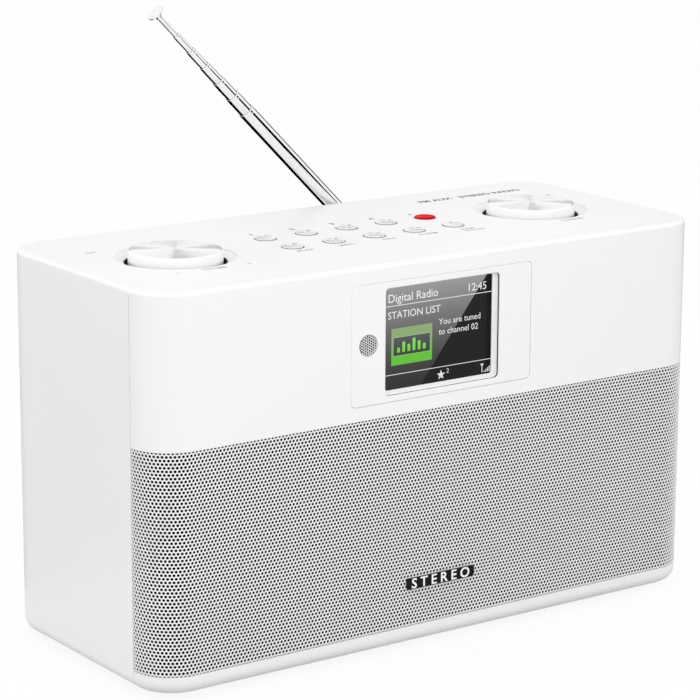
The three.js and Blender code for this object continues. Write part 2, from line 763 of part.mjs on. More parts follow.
// Antenna foot: a bush in the back wall, and the rotor whose two ears hold the hinge pin
function antennaBase(group) {
  const shaftHole = rotorShaftRadius + slideGap;
  const bushRadius = shaftHole + bushWall;
  const inner = cabinetDepth - backWall - bushInner;
  addPart(cabinet, 'antenna_bush', turned('y', [
    [shaftHole, inner],
    [bushRadius, inner],
    [bushRadius, cabinetDepth - bushFlange],
    [bushRadius + bushFlangeWidth, cabinetDepth - bushFlange],
    [bushRadius + bushFlangeWidth, cabinetDepth],
    [shaftHole, cabinetDepth],
  ], antennaX, pivotZ), blackPlastic);
  const discFront = cabinetDepth + seatGap - rodY;
  const discBack = discFront + rotorThickness;
  const earIn = tongueHalf + fitGap;
  const earOut = earIn + earThickness;
  let rotor = bar('y', rotorRadius, discFront, discBack)
    .add(bar('y', rotorShaftRadius, inner - rodY, discFront + rotorThickness / 2, 0, 0, smallSides));
  for (const side of [-1, 1]) {
    const [x0, x1] = side < 0 ? [-earOut, -earIn] : [earIn, earOut];
    rotor = rotor.add(block(x0, x1, discFront, 0, -earRadius, earRadius));
    rotor = rotor.add(bar('x', earRadius, x0, x1, 0, 0, smallSides));
  }
  rotor = rotor.subtract(bar(
    'x', pinRadius + slideGap, -earOut - overrun, earOut + overrun, 0, 0, smallSides,
  ));
  addPart(group, 'antenna_rotor', rotor, chromePlate);
  addPart(group, 'antenna_pin', bar('x', pinRadius, -earOut, earOut, 0, 0, smallSides), chromePlate);
}

// Telescopic rod: an outer tube on a flat tongue, five inner tubes and the tip rod.
// The group's z runs along the rod from the pivot
function antennaRod(group) {
  for (let i = 0; i < sectionCount; i += 1) {
    const radius = tubeRadius - i * radiusStep;
    const bore = radius - radiusStep + slideGap;
    const isTip = i === sectionCount - 1;
    const top = firstTop + (isTip ? (i - 1) * stepLength + lastStep : i * stepLength);
    const low = top - sectionLength;
    let shape = bar('z', radius, low, top, 0, 0, smallSides);
    if (i === 0) {
      const tongueTop = low - rootDepth;
      shape = shape.subtract(bar('z', bore, low, top + overrun, 0, 0, smallSides));
      shape = shape.add(bar('z', radius, tongueTop, low + rootDepth, 0, 0, smallSides));
      shape = shape.add(block(-tongueHalf, tongueHalf, -tongueRadius, tongueRadius, 0, low));
      shape = shape.add(bar('x', tongueRadius, -tongueHalf, tongueHalf, 0, 0, smallSides));
      const pinHole = pinRadius + slideGap;
      const pinReach = tongueHalf + overrun;
      shape = shape.subtract(bar('x', pinHole, -pinReach, pinReach, 0, 0, smallSides));
    } else if (isTip) {
      shape = shape.add(bar('z', tipRadius, top, top + tipThickness, 0, 0, smallSides));
    } else {
      shape = shape.subtract(bar('z', bore, low - overrun, top + overrun, 0, 0, smallSides));
    }
    addPart(group, `antenna_section_${i + 1}`, shape, chromePlate);
  }
}

// Where repeated pieces stand
const buttonPlaces = [];
for (const side of [1, -1]) {
  for (let i = 0; i < buttonsPerRow; i += 1) {
    buttonPlaces.push([(i - (buttonsPerRow - 1) / 2) * buttonPitch, middleY + (side * buttonRowSpacing) / 2]);
  }
}
const boardPostRows = [middleY - buttonRowSpacing / 2, middleY + buttonRowSpacing / 2];
const mainBoardCorners = {
  x: [mainBoardX - mainBoardWidth / 2 + bossInset, mainBoardX + mainBoardWidth / 2 - bossInset],
  z: [mainBoardRise + bossInset, topZ - mainBoardDrop - bossInset],
};
const footPlaces = [];
for (const x of [-halfWidth + footInsetX, halfWidth - footInsetX]) {
  for (const y of [footInsetY + frameDepth / 2, cabinetDepth - footInsetY]) footPlaces.push([x, y]);
}

rearCabinet();
frontFrame();
topPanel();
grille();
display();
knob('volume', -knobX);
knob('tuning', knobX);
buttonPlaces.forEach(([x, y], i) => button(i + 1, x, y));
controlBoard();
speaker('left', -speakerX);
speaker('right', speakerX);
mainBoard();
sockets();
bassPort();

const footNames = ['foot_front_left', 'foot_rear_left', 'foot_front_right', 'foot_rear_right'];
footPlaces.forEach(([x, y], i) => {
  const foot = bar('z', footRadius, -footHeight, footRecess - seatGap, x, y, buttonSides);
  addPart(cabinet, footNames[i], foot, greyRubber);
});

let screwNumber = 1;
for (const x of [-postX, postX]) {
  for (const z of postHeights) {
    const floorY = cabinetDepth - counterbore;
    const headLow = floorY + slideGap;
    const head = bar('y', screwHeadRadius, headLow, headLow + screwHeadHeight, x, z, smallSides);
    const shank = bar('y', screwShankRadius, floorY - screwLength, floorY + rootDepth, x, z, smallSides);
    addPart(cabinet, `rear_screw_${screwNumber}`, head.add(shank), darkSteel);
    screwNumber += 1;
  }
}

const antenna = new THREE.Group();
antenna.position.set(antennaX, rodY, pivotZ);
antenna.rotation.y = -antennaLean;
antennaBase(antenna);
antennaRod(antenna);
cabinet.add(antenna);

// Stands the radio on its feet, with the middle of its depth over the origin
const frontReach = badgeThickness;
const backReach = rodY + tipRadius;
cabinet.position.set(0, (frontReach - backReach) / 2, footHeight);

const radio = new THREE.Group();
radio.add(cabinet);

export default radio;
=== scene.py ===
import math

import bmesh
import bpy
import numpy as np
from mathutils import Matrix, Vector


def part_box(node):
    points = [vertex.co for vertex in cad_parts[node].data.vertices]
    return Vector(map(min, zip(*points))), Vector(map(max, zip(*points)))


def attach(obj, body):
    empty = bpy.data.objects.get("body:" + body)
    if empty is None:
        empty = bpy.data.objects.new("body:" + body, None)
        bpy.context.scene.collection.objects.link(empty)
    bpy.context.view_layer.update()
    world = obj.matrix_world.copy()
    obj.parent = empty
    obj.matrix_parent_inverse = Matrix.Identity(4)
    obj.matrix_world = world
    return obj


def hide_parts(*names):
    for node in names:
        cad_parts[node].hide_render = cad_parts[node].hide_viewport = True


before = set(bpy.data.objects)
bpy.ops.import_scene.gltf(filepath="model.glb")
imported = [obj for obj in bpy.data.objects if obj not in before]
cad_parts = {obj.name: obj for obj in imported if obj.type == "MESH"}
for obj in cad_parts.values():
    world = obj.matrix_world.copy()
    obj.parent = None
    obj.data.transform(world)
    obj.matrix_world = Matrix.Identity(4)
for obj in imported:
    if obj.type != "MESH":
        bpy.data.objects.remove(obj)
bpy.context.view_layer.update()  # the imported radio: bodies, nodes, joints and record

# Tabletop radio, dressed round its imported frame. Pieces are modelled in millimetres in the
# cabinet's own frame (front at y = 0, underside at z = 0) and go to metres when they are dressed.
mm = 0.001
quarter = math.pi / 2
cut = 2  # how far a cutting form runs past the face that it opens

frontLow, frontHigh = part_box("front_frame")
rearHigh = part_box("rear_cabinet")[1]
lidLow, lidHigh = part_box("top_panel")
cabinetFrame = Matrix.Translation((0, frontLow.y, frontLow.z)) @ Matrix.Scale(mm, 4)
inCabinet = cabinetFrame.inverted()

cabinet = {
    "width": (lidHigh.x - lidLow.x) / mm,
    "depth": (rearHigh.y - frontLow.y) / mm,
    "height": (lidHigh.z - frontLow.z) / mm,
    "lidSeam": (frontHigh.z - frontLow.z) / mm,
    "cornerRadius": 19.5,
    "bottomRound": 5.7,
    "topRound": 1.8,
    "sideWall": 3,
    "frontWall": 4,
    "backWall": 3,
    "floorWall": 3,
    "frameDepth": 19.5,  # how far the front frame wraps along each side
    "seamGap": 0.3,
    "cornerSteps": 20,
    "filletSteps": 7,
}
halfWidth = cabinet["width"] / 2
depth = cabinet["depth"]
topZ = cabinet["height"]
middleY = depth / 2
beyond = halfWidth + cut
backInside = depth - cabinet["backWall"]


def middleOf(node):  # a CAD node's middle, in the cabinet's own millimetres
    low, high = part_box(node)
    return inCabinet @ ((low + high) / 2)


def linear(colour):  # an sRGB hex value as the linear colour that a shader takes
    parts = [int(colour[i:i + 2], 16) / 255 for i in (1, 3, 5)]
    return [*(p / 12.92 if p <= 0.04045 else ((p + 0.055) / 1.055) ** 2.4 for p in parts), 1]


# Materials

def addNode(tree, kind, settings=None, links=None):
    node = tree.nodes.new("ShaderNode" + kind)
    for name, value in (settings or {}).items():
        if isinstance(name, int) or name in node.inputs:
            node.inputs[name].default_value = value
        else:
            setattr(node, name, value)
    for name, output in (links or {}).items():
        tree.links.new(output, node.inputs[name])
    return node


def newMaterial(name, colour, sockets):
    material = bpy.data.materials.new(name)
    material.use_nodes = True
    shader = material.node_tree.nodes["Principled BSDF"]
    shader.inputs["Base Color"].default_value = linear(colour)
    for socket, value in sockets.items():
        shader.inputs[socket].default_value = value
    return material, material.node_tree, shader


def feed(shader, outputs):
    for socket, output in outputs.items():
        shader.id_data.links.new(output, shader.inputs[socket])


# Injection-moulded plastic. A polished mould leaves a faint orange peel, so the gloss wanders
# a little over each face and long highlights aren't ruler-straight.
moulding = {
    "cloud": 45,  # mm, the width of a patch of tone
    "glossSpread": 0.04,
}


# Edge is the tint of what the face mirrors at a low angle.
def mouldedPlastic(name, colour, shade, roughness, peel=2.4, peelDepth=0.0015, rings=0, metallic=0,
                   shine=0.5, edge="#ffffff"):
    material, tree, shader = newMaterial(name, colour, {
        "Specular IOR Level": shine, "Specular Tint": linear(edge), "Metallic": metallic,
        "Anisotropic": rings, "Anisotropic Rotation": 0.25,
    })
    place = addNode(tree, "TexCoord").outputs["Object"]
    fine = addNode(tree, "TexNoise", {"Scale": 1 / (peel * mm), "Detail": 2}, {"Vector": place})
    broad = addNode(tree, "TexNoise", {"Scale": 1 / (moulding["cloud"] * mm), "Detail": 1}, {"Vector": place})
    tint = addNode(tree, "Mix", {"data_type": "RGBA", 6: linear(colour), 7: linear(shade)},
                   {0: broad.outputs["Fac"]})
    spread = moulding["glossSpread"]
    gloss = addNode(tree, "MapRange", {"To Min": roughness - spread, "To Max": roughness + spread},
                    {"Value": fine.outputs["Fac"]})
    bump = addNode(tree, "Bump", {"Strength": 1, "Distance": peelDepth * mm},
                   {"Height": fine.outputs["Fac"]})
    feed(shader, {"Base Color": tint.outputs[2], "Roughness": gloss.outputs["Result"],
                   "Normal": bump.outputs["Normal"]})
    if rings:  # moulded in turned steel, so a face shines in a faint fan
        tangent = addNode(tree, "Tangent", {"direction_type": "RADIAL", "axis": "Z"})
        feed(shader, {"Tangent": tangent.outputs["Tangent"]})
    return material


# Powder-coated steel. The baked powder has a fine pebbled skin that softens every highlight.
powder = {"pebble": 0.35, "height": 0.004}  # mm


def powderCoat():
    material, tree, shader = newMaterial("powder_coated_steel", "#f3f3f3", {"IOR": 1.5})
    place = addNode(tree, "TexCoord").outputs["Object"]
    pebble = addNode(tree, "TexNoise", {"Scale": 1 / (powder["pebble"] * mm), "Detail": 3}, {"Vector": place})
    gloss = addNode(tree, "MapRange", {"To Min": 0.34, "To Max": 0.5}, {"Value": pebble.outputs["Fac"]})
    tint = addNode(tree, "Mix", {"data_type": "RGBA", 6: linear("#f5f5f5"), 7: linear("#eeeeee")},
                   {0: pebble.outputs["Fac"]})
    bump = addNode(tree, "Bump", {"Strength": 1, "Distance": powder["height"] * mm},
                   {"Height": pebble.outputs["Fac"]})
    feed(shader, {"Base Color": tint.outputs[2], "Roughness": gloss.outputs["Result"],
                   "Normal": bump.outputs["Normal"]})
    return material


# Plain-woven polyester speaker cloth, drawn at a 0.5 mm thread so that its weave can show
# through the holes. Crossing threads catch the light and the pores between stay black.
weaving = {
    "thread": 0.5,  # mm
    "height": 0.08,
    "threadsPerUnit": 6.3,  # a wave node at scale 1 draws some 3.2 bands a unit, and a band is two threads
}


def speakerCloth():
    material, tree, shader = newMaterial("woven_polyester", "#101011", {
        "Roughness": 0.9, "Sheen Weight": 0.15, "Sheen Roughness": 0.5, "Specular IOR Level": 0.2,
    })
    place = addNode(tree, "TexCoord").outputs["Object"]
    thread = {
        "Scale": 1 / (weaving["thread"] * mm) / weaving["threadsPerUnit"], "Distortion": 0.4,
        "wave_type": "BANDS",
    }
    across = addNode(tree, "TexWave", {**thread, "bands_direction": "X"}, {"Vector": place})
    along = addNode(tree, "TexWave", {**thread, "bands_direction": "Z"}, {"Vector": place})
    weave = addNode(tree, "Math", {"operation": "MULTIPLY"},
                    {0: across.outputs["Fac"], 1: along.outputs["Fac"]})
    tint = addNode(tree, "Mix", {"data_type": "RGBA", 6: linear("#050506"), 7: linear("#19191b")},
                   {0: weave.outputs["Value"]})
    bump = addNode(tree, "Bump", {"Strength": 0.8, "Distance": weaving["height"] * mm},
                   {"Height": weave.outputs["Value"]})
    feed(shader, {"Base Color": tint.outputs[2], "Normal": bump.outputs["Normal"]})
    return material


# Diamond-spun aluminium: the tool's rings are too fine to see one by one. Their slopes and the
# polish along them carry the fan of light that sweeps round a spun face.
spun = {"groove": 0.5, "depth": 0.018}  # mm, drawn far coarser than the real rings


def spunAluminium(name, centre):
    material, tree, shader = newMaterial(name, "#fafafa", {
        "Metallic": 1, "Anisotropic": 1, "Anisotropic Rotation": 0.25,
    })
    place = addNode(tree, "TexCoord").outputs["Object"]
    turned = addNode(tree, "Mapping", {"Location": -centre}, {"Vector": place})
    rings = addNode(tree, "TexWave", {
        "wave_type": "RINGS", "rings_direction": "Z", "Scale": math.pi / 10 / (spun["groove"] * mm),
    }, {"Vector": turned.outputs["Vector"]})
    gloss = addNode(tree, "MapRange", {"To Min": 0.14, "To Max": 0.2}, {"Value": rings.outputs["Fac"]})
    bump = addNode(tree, "Bump", {"Strength": 1, "Distance": spun["depth"] * mm},
                   {"Height": rings.outputs["Fac"]})
    tangent = addNode(tree, "Tangent", {"direction_type": "RADIAL", "axis": "Z"})
    feed(shader, {"Roughness": gloss.outputs["Result"], "Normal": bump.outputs["Normal"],
                   "Tangent": tangent.outputs["Tangent"]})
    return material


# Silver lacquer over plastic: soft metal flake under a clear coat, so the wall of the knob
# turns from light to dark more gently than bare metal.
flakeSize = 0.25  # mm


def silverLacquer():
    material, tree, shader = newMaterial("silver_lacquer", "#f7f7f7", {
        "Metallic": 0.2, "Coat Weight": 0.3, "Coat Roughness": 0.2,
    })
    place = addNode(tree, "TexCoord").outputs["Object"]
    flake = addNode(tree, "TexNoise", {"Scale": 1 / (flakeSize * mm), "Detail": 2}, {"Vector": place})
    gloss = addNode(tree, "MapRange", {"To Min": 0.32, "To Max": 0.42}, {"Value": flake.outputs["Fac"]})
    feed(shader, {"Roughness": gloss.outputs["Result"]})
    return material


# Bare or plated metal with a directional or cloudy finish. Grain is its scratch width in mm.
def metal(name, colour, shade, roughness, grain, stretch=(1, 1, 1), bumpDepth=0.002):
    material, tree, shader = newMaterial(name, colour, {"Metallic": 1})
    place = addNode(tree, "TexCoord").outputs["Object"]
    drawn = addNode(tree, "Mapping", {"Scale": stretch}, {"Vector": place})
    grains = addNode(tree, "TexNoise", {"Scale": 1 / (grain * mm), "Detail": 3},
                     {"Vector": drawn.outputs["Vector"]})
    tint = addNode(tree, "Mix", {"data_type": "RGBA", 6: linear(colour), 7: linear(shade)},
                   {0: grains.outputs["Fac"]})
    gloss = addNode(tree, "MapRange", {"To Min": roughness * 0.8, "To Max": roughness * 1.25},
                    {"Value": grains.outputs["Fac"]})
    bump = addNode(tree, "Bump", {"Strength": 0.5, "Distance": bumpDepth * mm},
                   {"Height": grains.outputs["Fac"]})
    feed(shader, {"Base Color": tint.outputs[2], "Roughness": gloss.outputs["Result"],
                   "Normal": bump.outputs["Normal"]})
    return material


# Printed circuit board: green solder mask with straight copper tracks shining through it.
tracking = {"cell": 5, "spacing": 0.08, "edge": (0.035, 0.045)}  # mm, then shares of a cell


def circuitBoard():
    material, tree, shader = newMaterial("solder_mask", "#1c5a37", {"Roughness": 0.35})
    place = addNode(tree, "TexCoord").outputs["Object"]
    cells = addNode(tree, "TexVoronoi", {"Scale": 1 / (tracking["cell"] * mm), "distance": "CHEBYCHEV"},
                    {"Vector": place})
    tracks = addNode(tree, "Math", {"operation": "PINGPONG", 1: tracking["spacing"]},
                     {0: cells.outputs["Distance"]})
    lines = addNode(tree, "MapRange", {"From Min": tracking["edge"][0], "From Max": tracking["edge"][1]},
                    {"Value": tracks.outputs["Value"]})
    tint = addNode(tree, "Mix", {"data_type": "RGBA", 6: linear("#174a2d"), 7: linear("#2c7a4b")},
                   {0: lines.outputs["Result"]})
    feed(shader, {"Base Color": tint.outputs[2]})
    return material


# Pressed paper pulp: matt, with the felted fibre that makes a loudspeaker cone look soft.
fibres = {"length": 1.2, "height": 0.05}  # mm


def paperPulp():
    material, tree, shader = newMaterial("paper_pulp", "#262628", {"Roughness": 0.85})
    place = addNode(tree, "TexCoord").outputs["Object"]
    fibre = addNode(tree, "TexNoise", {"Scale": 1 / (fibres["length"] * mm), "Detail": 6, "Distortion": 1.5},
                    {"Vector": place})
    tint = addNode(tree, "Mix", {"data_type": "RGBA", 6: linear("#1c1c1e"), 7: linear("#333336")},
                   {0: fibre.outputs["Fac"]})
    bump = addNode(tree, "Bump", {"Strength": 0.7, "Distance": fibres["height"] * mm},
                   {"Height": fibre.outputs["Fac"]})
    feed(shader, {"Base Color": tint.outputs[2], "Normal": bump.outputs["Normal"]})
    return material


# Ink: flat colour with the slightly uneven edge and density of pad printing.
inkPatch = 0.8  # mm, the width of a denser patch


def padPrint(name, colour, shade):
    material, tree, shader = newMaterial(name, colour, {"Roughness": 0.6, "Specular IOR Level": 0.3})
    place = addNode(tree, "TexCoord").outputs["Object"]
    density = addNode(tree, "TexNoise", {"Scale": 1 / (inkPatch * mm), "Detail": 2}, {"Vector": place})
    tint = addNode(tree, "Mix", {"data_type": "RGBA", 6: linear(colour), 7: linear(shade)},
                   {0: density.outputs["Fac"]})
    feed(shader, {"Base Color": tint.outputs[2]})
    return material


# The display pane's own glow, with a painted reflection: a grey glow painted down the left stands in for the
# glass's reflection and stops at a slanting edge, and the right-hand strip stays nearly black.
screen = {
    "low": 117.4,
    "high": 165.6,
    "slantTop": (24.9, 164.1),
    "slantFoot": (-10.6, 119.4),
    "stripX": 24.9,
    "paintedReflectionTop": "#9c9c9c",
    "paintedReflectionFoot": "#2e2e2e",
    "ground": "#1a1a1b",
    "strip": "#0a0a0b",
    "fade": 1.7,  # how fast the painted reflection dies towards the foot
    "softEdge": 0.1,  # mm
}


def paneWithPaintedReflection():
    material, tree, shader = newMaterial("acrylic_over_screen", "#050506", {
        "Roughness": 0.08, "Specular IOR Level": 0.1, "Emission Strength": 1,
    })
    place = addNode(tree, "TexCoord").outputs["Object"]
    axes = addNode(tree, "SeparateXYZ", {}, {"Vector": place})
    lowZ = (cabinetFrame @ Vector((0, 0, screen["low"]))).z
    highZ = (cabinetFrame @ Vector((0, 0, screen["high"]))).z
    rise = addNode(tree, "MapRange", {"From Min": lowZ, "From Max": highZ}, {"Value": axes.outputs["Z"]})
    fade = addNode(tree, "Math", {"operation": "POWER", 1: screen["fade"]}, {0: rise.outputs["Result"]})
    # painted reflection: a grey glow, lightest at the top, stands in for the glass's mirror image
    paintedReflection = addNode(tree, "Mix", {
        "data_type": "RGBA", 6: linear(screen["paintedReflectionFoot"]), 7: linear(screen["paintedReflectionTop"]),
    }, {0: fade.outputs["Value"]})
    (topX, topHeight), (footX, footHeight) = screen["slantTop"], screen["slantFoot"]
    slope = (topX - footX) / (topHeight - footHeight)
    footPoint = cabinetFrame @ Vector((footX, 0, footHeight))
    overFoot = addNode(tree, "Math", {"operation": "SUBTRACT", 1: footPoint.z}, {0: axes.outputs["Z"]})
    slantX = addNode(tree, "Math", {"operation": "MULTIPLY_ADD", 1: slope, 2: footPoint.x},
                     {0: overFoot.outputs["Value"]})
    side = addNode(tree, "Math", {"operation": "SUBTRACT"},
                   {0: slantX.outputs["Value"], 1: axes.outputs["X"]})
    soft = screen["softEdge"]
    edge = addNode(tree, "MapRange", {"From Min": -soft * mm, "From Max": soft * mm},
                   {"Value": side.outputs["Value"]})
    stripEdge = addNode(tree, "MapRange", {
        "From Min": (screen["stripX"] - soft) * mm, "From Max": (screen["stripX"] + soft) * mm,
    }, {"Value": axes.outputs["X"]})
    ground = addNode(tree, "Mix", {
        "data_type": "RGBA", 6: linear(screen["ground"]), 7: linear(screen["strip"]),
    }, {0: stripEdge.outputs["Result"]})
    picture = addNode(tree, "Mix", {"data_type": "RGBA"},
                      {0: edge.outputs["Result"], 6: ground.outputs[2], 7: paintedReflection.outputs[2]})
    feed(shader, {"Emission Color": picture.outputs[2]})
    return material


# Light that the display's own picture gives off: backlit cells whose colour runs from one tone to another
# with height.
def litCells(name, high, low, fromZ, toZ):
    material, tree, shader = newMaterial(name, "#000000", {
        "Roughness": 0.2, "Specular IOR Level": 0.1, "Emission Strength": 1,
    })
    place = addNode(tree, "TexCoord").outputs["Object"]
    axes = addNode(tree, "SeparateXYZ", {}, {"Vector": place})
    rise = addNode(tree, "MapRange", {
        "From Min": (cabinetFrame @ Vector((0, 0, fromZ))).z,
        "From Max": (cabinetFrame @ Vector((0, 0, toZ))).z,
    }, {"Value": axes.outputs["Z"]})
    tint = addNode(tree, "Mix", {"data_type": "RGBA", 6: linear(low), 7: linear(high)},
                   {0: rise.outputs["Result"]})
    feed(shader, {"Emission Color": tint.outputs[2]})
    return material


whiteAbs = mouldedPlastic("white_abs", "#f4f4f4", "#f1f1f1", 0.42, shine=0.3)
buttonAbs = mouldedPlastic("pearl_lacquered_abs", "#f9f9f9", "#f6f6f6", 0.22, 1.5, rings=1, metallic=0.75)
redAbs = mouldedPlastic("red_lacquered_abs", "#f20006", "#e80005", 0.2, 1.5, rings=1, metallic=0.7,
                        shine=0.3, edge="#ff1010")
# the collars' dark grey is painted shade for the gap round each button
shadeCollarAbs = mouldedPlastic("painted_shade_grey_abs", "#4a4b4d", "#434446", 0.4, 0.6)
blackAbs = mouldedPlastic("satin_black_abs", "#1a1b1d", "#151618", 0.45, 0.6, 0.012)
greyPbt = mouldedPlastic("grey_pbt", "#6f7275", "#686b6e", 0.5, 0.6, 0.01)
rubber = mouldedPlastic("silicone_rubber", "#3b3b3c", "#323233", 0.8, 0.5, 0.02)
grilleCoat = powderCoat()
clothWeave = speakerCloth()
lacquer = silverLacquer()
chrome = metal("chromed_brass", "#f8f8f9", "#f3f3f4", 0.03, 6, bumpDepth=0.0003)
zincSteel = metal("zinc_plated_steel", "#85888c", "#6c6f73", 0.35, 0.5)
pressedSteel = metal("pressed_steel", "#55585c", "#44474a", 0.4, 0.8)
drawnAluminium = metal("drawn_aluminium", "#c3c5c8", "#aeb0b3", 0.35, 0.2, (1, 1, 0.05))
badgeMetal = metal("dark_anodised_aluminium", "#26272a", "#1b1c1e", 0.32, 0.15, (0.04, 1, 1))
ferrite = metal("sintered_ferrite", "#3a3b3d", "#2c2d2f", 0.6, 0.4, bumpDepth=0.02)
board = circuitBoard()
cone = paperPulp()
greyInk = padPrint("grey_pad_print", "#7a7a7a", "#868686")
darkInk = padPrint("dark_pad_print", "#5f6062", "#6e6f71")
whiteInk = padPrint("white_pad_print", "#d9d9d9", "#c6c6c6")
print("materials ready")


# Forms

def newPiece(name, points, faces):
    mesh = bpy.data.meshes.new(name)
    mesh.from_pydata([tuple(point) for point in points], [], faces)
    piece = bpy.data.objects.new(name, mesh)
    bpy.context.scene.collection.objects.link(piece)
    return piece


def copyOf(piece):
    twin = piece.copy()
    twin.data = piece.data.copy()
    bpy.context.scene.collection.objects.link(twin)
    return twin


def settle(piece):  # applies what its modifiers make of a piece
    made = bpy.data.meshes.new_from_object(piece.evaluated_get(bpy.context.evaluated_depsgraph_get()))
    piece.modifiers.clear()
    piece.data = made
    return piece


def combine(piece, tool, operation="DIFFERENCE"):
    step = piece.modifiers.new("combine", "BOOLEAN")
    step.operation = operation
    step.solver = "EXACT"
    step.object = tool
    settle(piece)
    bpy.data.objects.remove(tool)
    return piece


def bevel(piece, width, segments=3, angle=30):
    step = piece.modifiers.new("bevel", "BEVEL")
    step.width = width
    step.segments = segments
    step.limit_method = "ANGLE"
    step.angle_limit = math.radians(angle)
    return settle(piece)


def put(piece, x=0, y=0, z=0, along="z"):  # lays a form made along z on another axis and moves it
    turn = {
        "z": Matrix.Identity(4),
        "y": Matrix.Rotation(-quarter, 4, "X"),
        "x": Matrix.Rotation(quarter, 4, "Y"),
    }[along]
    piece.data.transform(Matrix.Translation((x, y, z)) @ turn)
    return piece


def joined(name, parts):  # several separate forms as one piece
    whole = bmesh.new()
    for part in parts:
        whole.from_mesh(part.data)
        bpy.data.objects.remove(part)
    piece = newPiece(name, [], [])
    whole.to_mesh(piece.data)
    whole.free()
    return piece


def block(x0, x1, y0, y1, z0, z1):
    points = [(x, y, z) for x in (x0, x1) for y in (y0, y1) for z in (z0, z1)]
    faces = [(0, 1, 3, 2), (4, 6, 7, 5), (0, 4, 5, 1), (2, 3, 7, 6), (0, 2, 6, 4), (1, 5, 7, 3)]
    return newPiece("block", points, faces)


def rounded(corners, steps=5, closed=False):  # corners are (u, v, radius of the rounding)
    points = []
    count = len(corners)
    for i, (u, v, radius) in enumerate(corners):
        here = Vector((u, v))
        if radius == 0 or (not closed and i in (0, count - 1)):
            points.append((u, v))
            continue
        back = (Vector(corners[i - 1][:2]) - here).normalized()
        ahead = (Vector(corners[(i + 1) % count][:2]) - here).normalized()
        half = back.angle(ahead) / 2
        middle = here + (back + ahead).normalized() * (radius / math.sin(half))
        start = here + back * (radius / math.tan(half)) - middle
        end = here + ahead * (radius / math.tan(half)) - middle
        sweep = math.atan2(start.x * end.y - start.y * end.x, start.dot(end))
        for step in range(steps + 1):
            angle = sweep * step / steps
            points.append((
                middle.x + start.x * math.cos(angle) - start.y * math.sin(angle),
                middle.y + start.x * math.sin(angle) + start.y * math.cos(angle),
            ))
    return points


def turned(name, profile, steps=96):  # spins (radius, height) points round the z axis
    points, rings = [], []
    for radius, height in profile:
        if radius == 0:
            rings.append([len(points)] * steps)
            points.append((0, 0, height))
            continue
        rings.append(list(range(len(points), len(points) + steps)))
        for step in range(steps):
            angle = 2 * math.pi * step / steps
            points.append((radius * math.cos(angle), radius * math.sin(angle), height))
    if profile[0][0] > 0:
        rings.append(rings[0])
    faces = []
    for low, high in zip(rings, rings[1:]):
        for step in range(steps):
            after = (step + 1) % steps
            corners = dict.fromkeys([low[step], low[after], high[after], high[step]])
            if len(corners) > 2:
                faces.append(tuple(corners))
    return newPiece(name, points, faces)


def bar(radius, low, high, steps=48):
    return turned("bar", [(0, low), (radius, low), (radius, high), (0, high)], steps)


def prism(name, outline, low, high):  # an outline in x and z that runs from front to back
    count = len(outline)
    points = [(x, y, z) for y in (low, high) for x, z in outline]
    faces = [tuple(range(count)), tuple(range(2 * count - 1, count - 1, -1))]
    for i in range(count):
        after = (i + 1) % count
        faces.append((i, i + count, after + count, after))
    return newPiece(name, points, faces)


def plate(name, width, height, corner, low, high, x=0, z=0, steps=10):
    right, top = width / 2, height / 2
    corners = [(x + right, z - top, corner), (x + right, z + top, corner),
               (x - right, z + top, corner), (x - right, z - top, corner)]
    return prism(name, rounded(corners, steps, True), low, high)


# Levels are (y, how much wider all round)
def stack(name, width, height, corner, levels, x=0, z=0, steps=10):
    points, faces = [], []
    for y, grow in levels:
        right, top, radius = width / 2 + grow, height / 2 + grow, corner + grow
        outline = rounded([(x + right, z - top, radius), (x + right, z + top, radius),
                           (x - right, z + top, radius), (x - right, z - top, radius)], steps, True)
        points += [(u, y, v) for u, v in outline]
    count = len(points) // len(levels)
    for low in range(0, len(points) - count, count):
        for i in range(count):
            after = (i + 1) % count
            faces.append((low + i, low + i + count, low + after + count, low + after))
    faces += [tuple(range(count)), tuple(range(len(points) - 1, len(points) - count - 1, -1))]
    return newPiece(name, points, faces)


def cabinetForm(side, front, back, bottom, top, lowRound, highRound):
    radius = cabinet["cornerRadius"] - side
    centreX = halfWidth - cabinet["cornerRadius"]
    centres = [(centreX, depth - back - radius), (-centreX, depth - back - radius),
               (-centreX, front + radius), (centreX, front + radius)]
    levels = []
    for step in range(cabinet["filletSteps"] + 1):
        angle = quarter * step / cabinet["filletSteps"]
        levels.append((bottom + lowRound * (1 - math.cos(angle)), lowRound * (1 - math.sin(angle))))
    for step in range(cabinet["filletSteps"] + 1):
        angle = quarter * step / cabinet["filletSteps"]
        levels.append((top - highRound * (1 - math.sin(angle)), highRound * (1 - math.cos(angle))))
    levels = [level for i, level in enumerate(levels) if i == 0 or level[0] > levels[i - 1][0] + 1e-6]
    points = []
    for height, inset in levels:
        for corner, (x, y) in enumerate(centres):
            for step in range(cabinet["cornerSteps"] + 1):
                angle = (corner + step / cabinet["cornerSteps"]) * quarter
                reach = radius - inset
                points.append((x + reach * math.cos(angle), y + reach * math.sin(angle), height))
    count = len(centres) * (cabinet["cornerSteps"] + 1)
    last = (len(levels) - 1) * count
    faces = [tuple(range(count - 1, -1, -1)), tuple(range(last, last + count))]
    for ring in range(0, last, count):
        for i in range(count):
            after = (i + 1) % count
            faces.append((ring + i, ring + after, ring + count + after, ring + count + i))
    return newPiece("form", points, faces)


def faceOut(piece):  # turns every face of a closed form outwards
    form = bmesh.new()
    form.from_mesh(piece.data)
    bmesh.ops.recalc_face_normals(form, faces=form.faces)
    form.to_mesh(piece.data)
    form.free()
    return piece


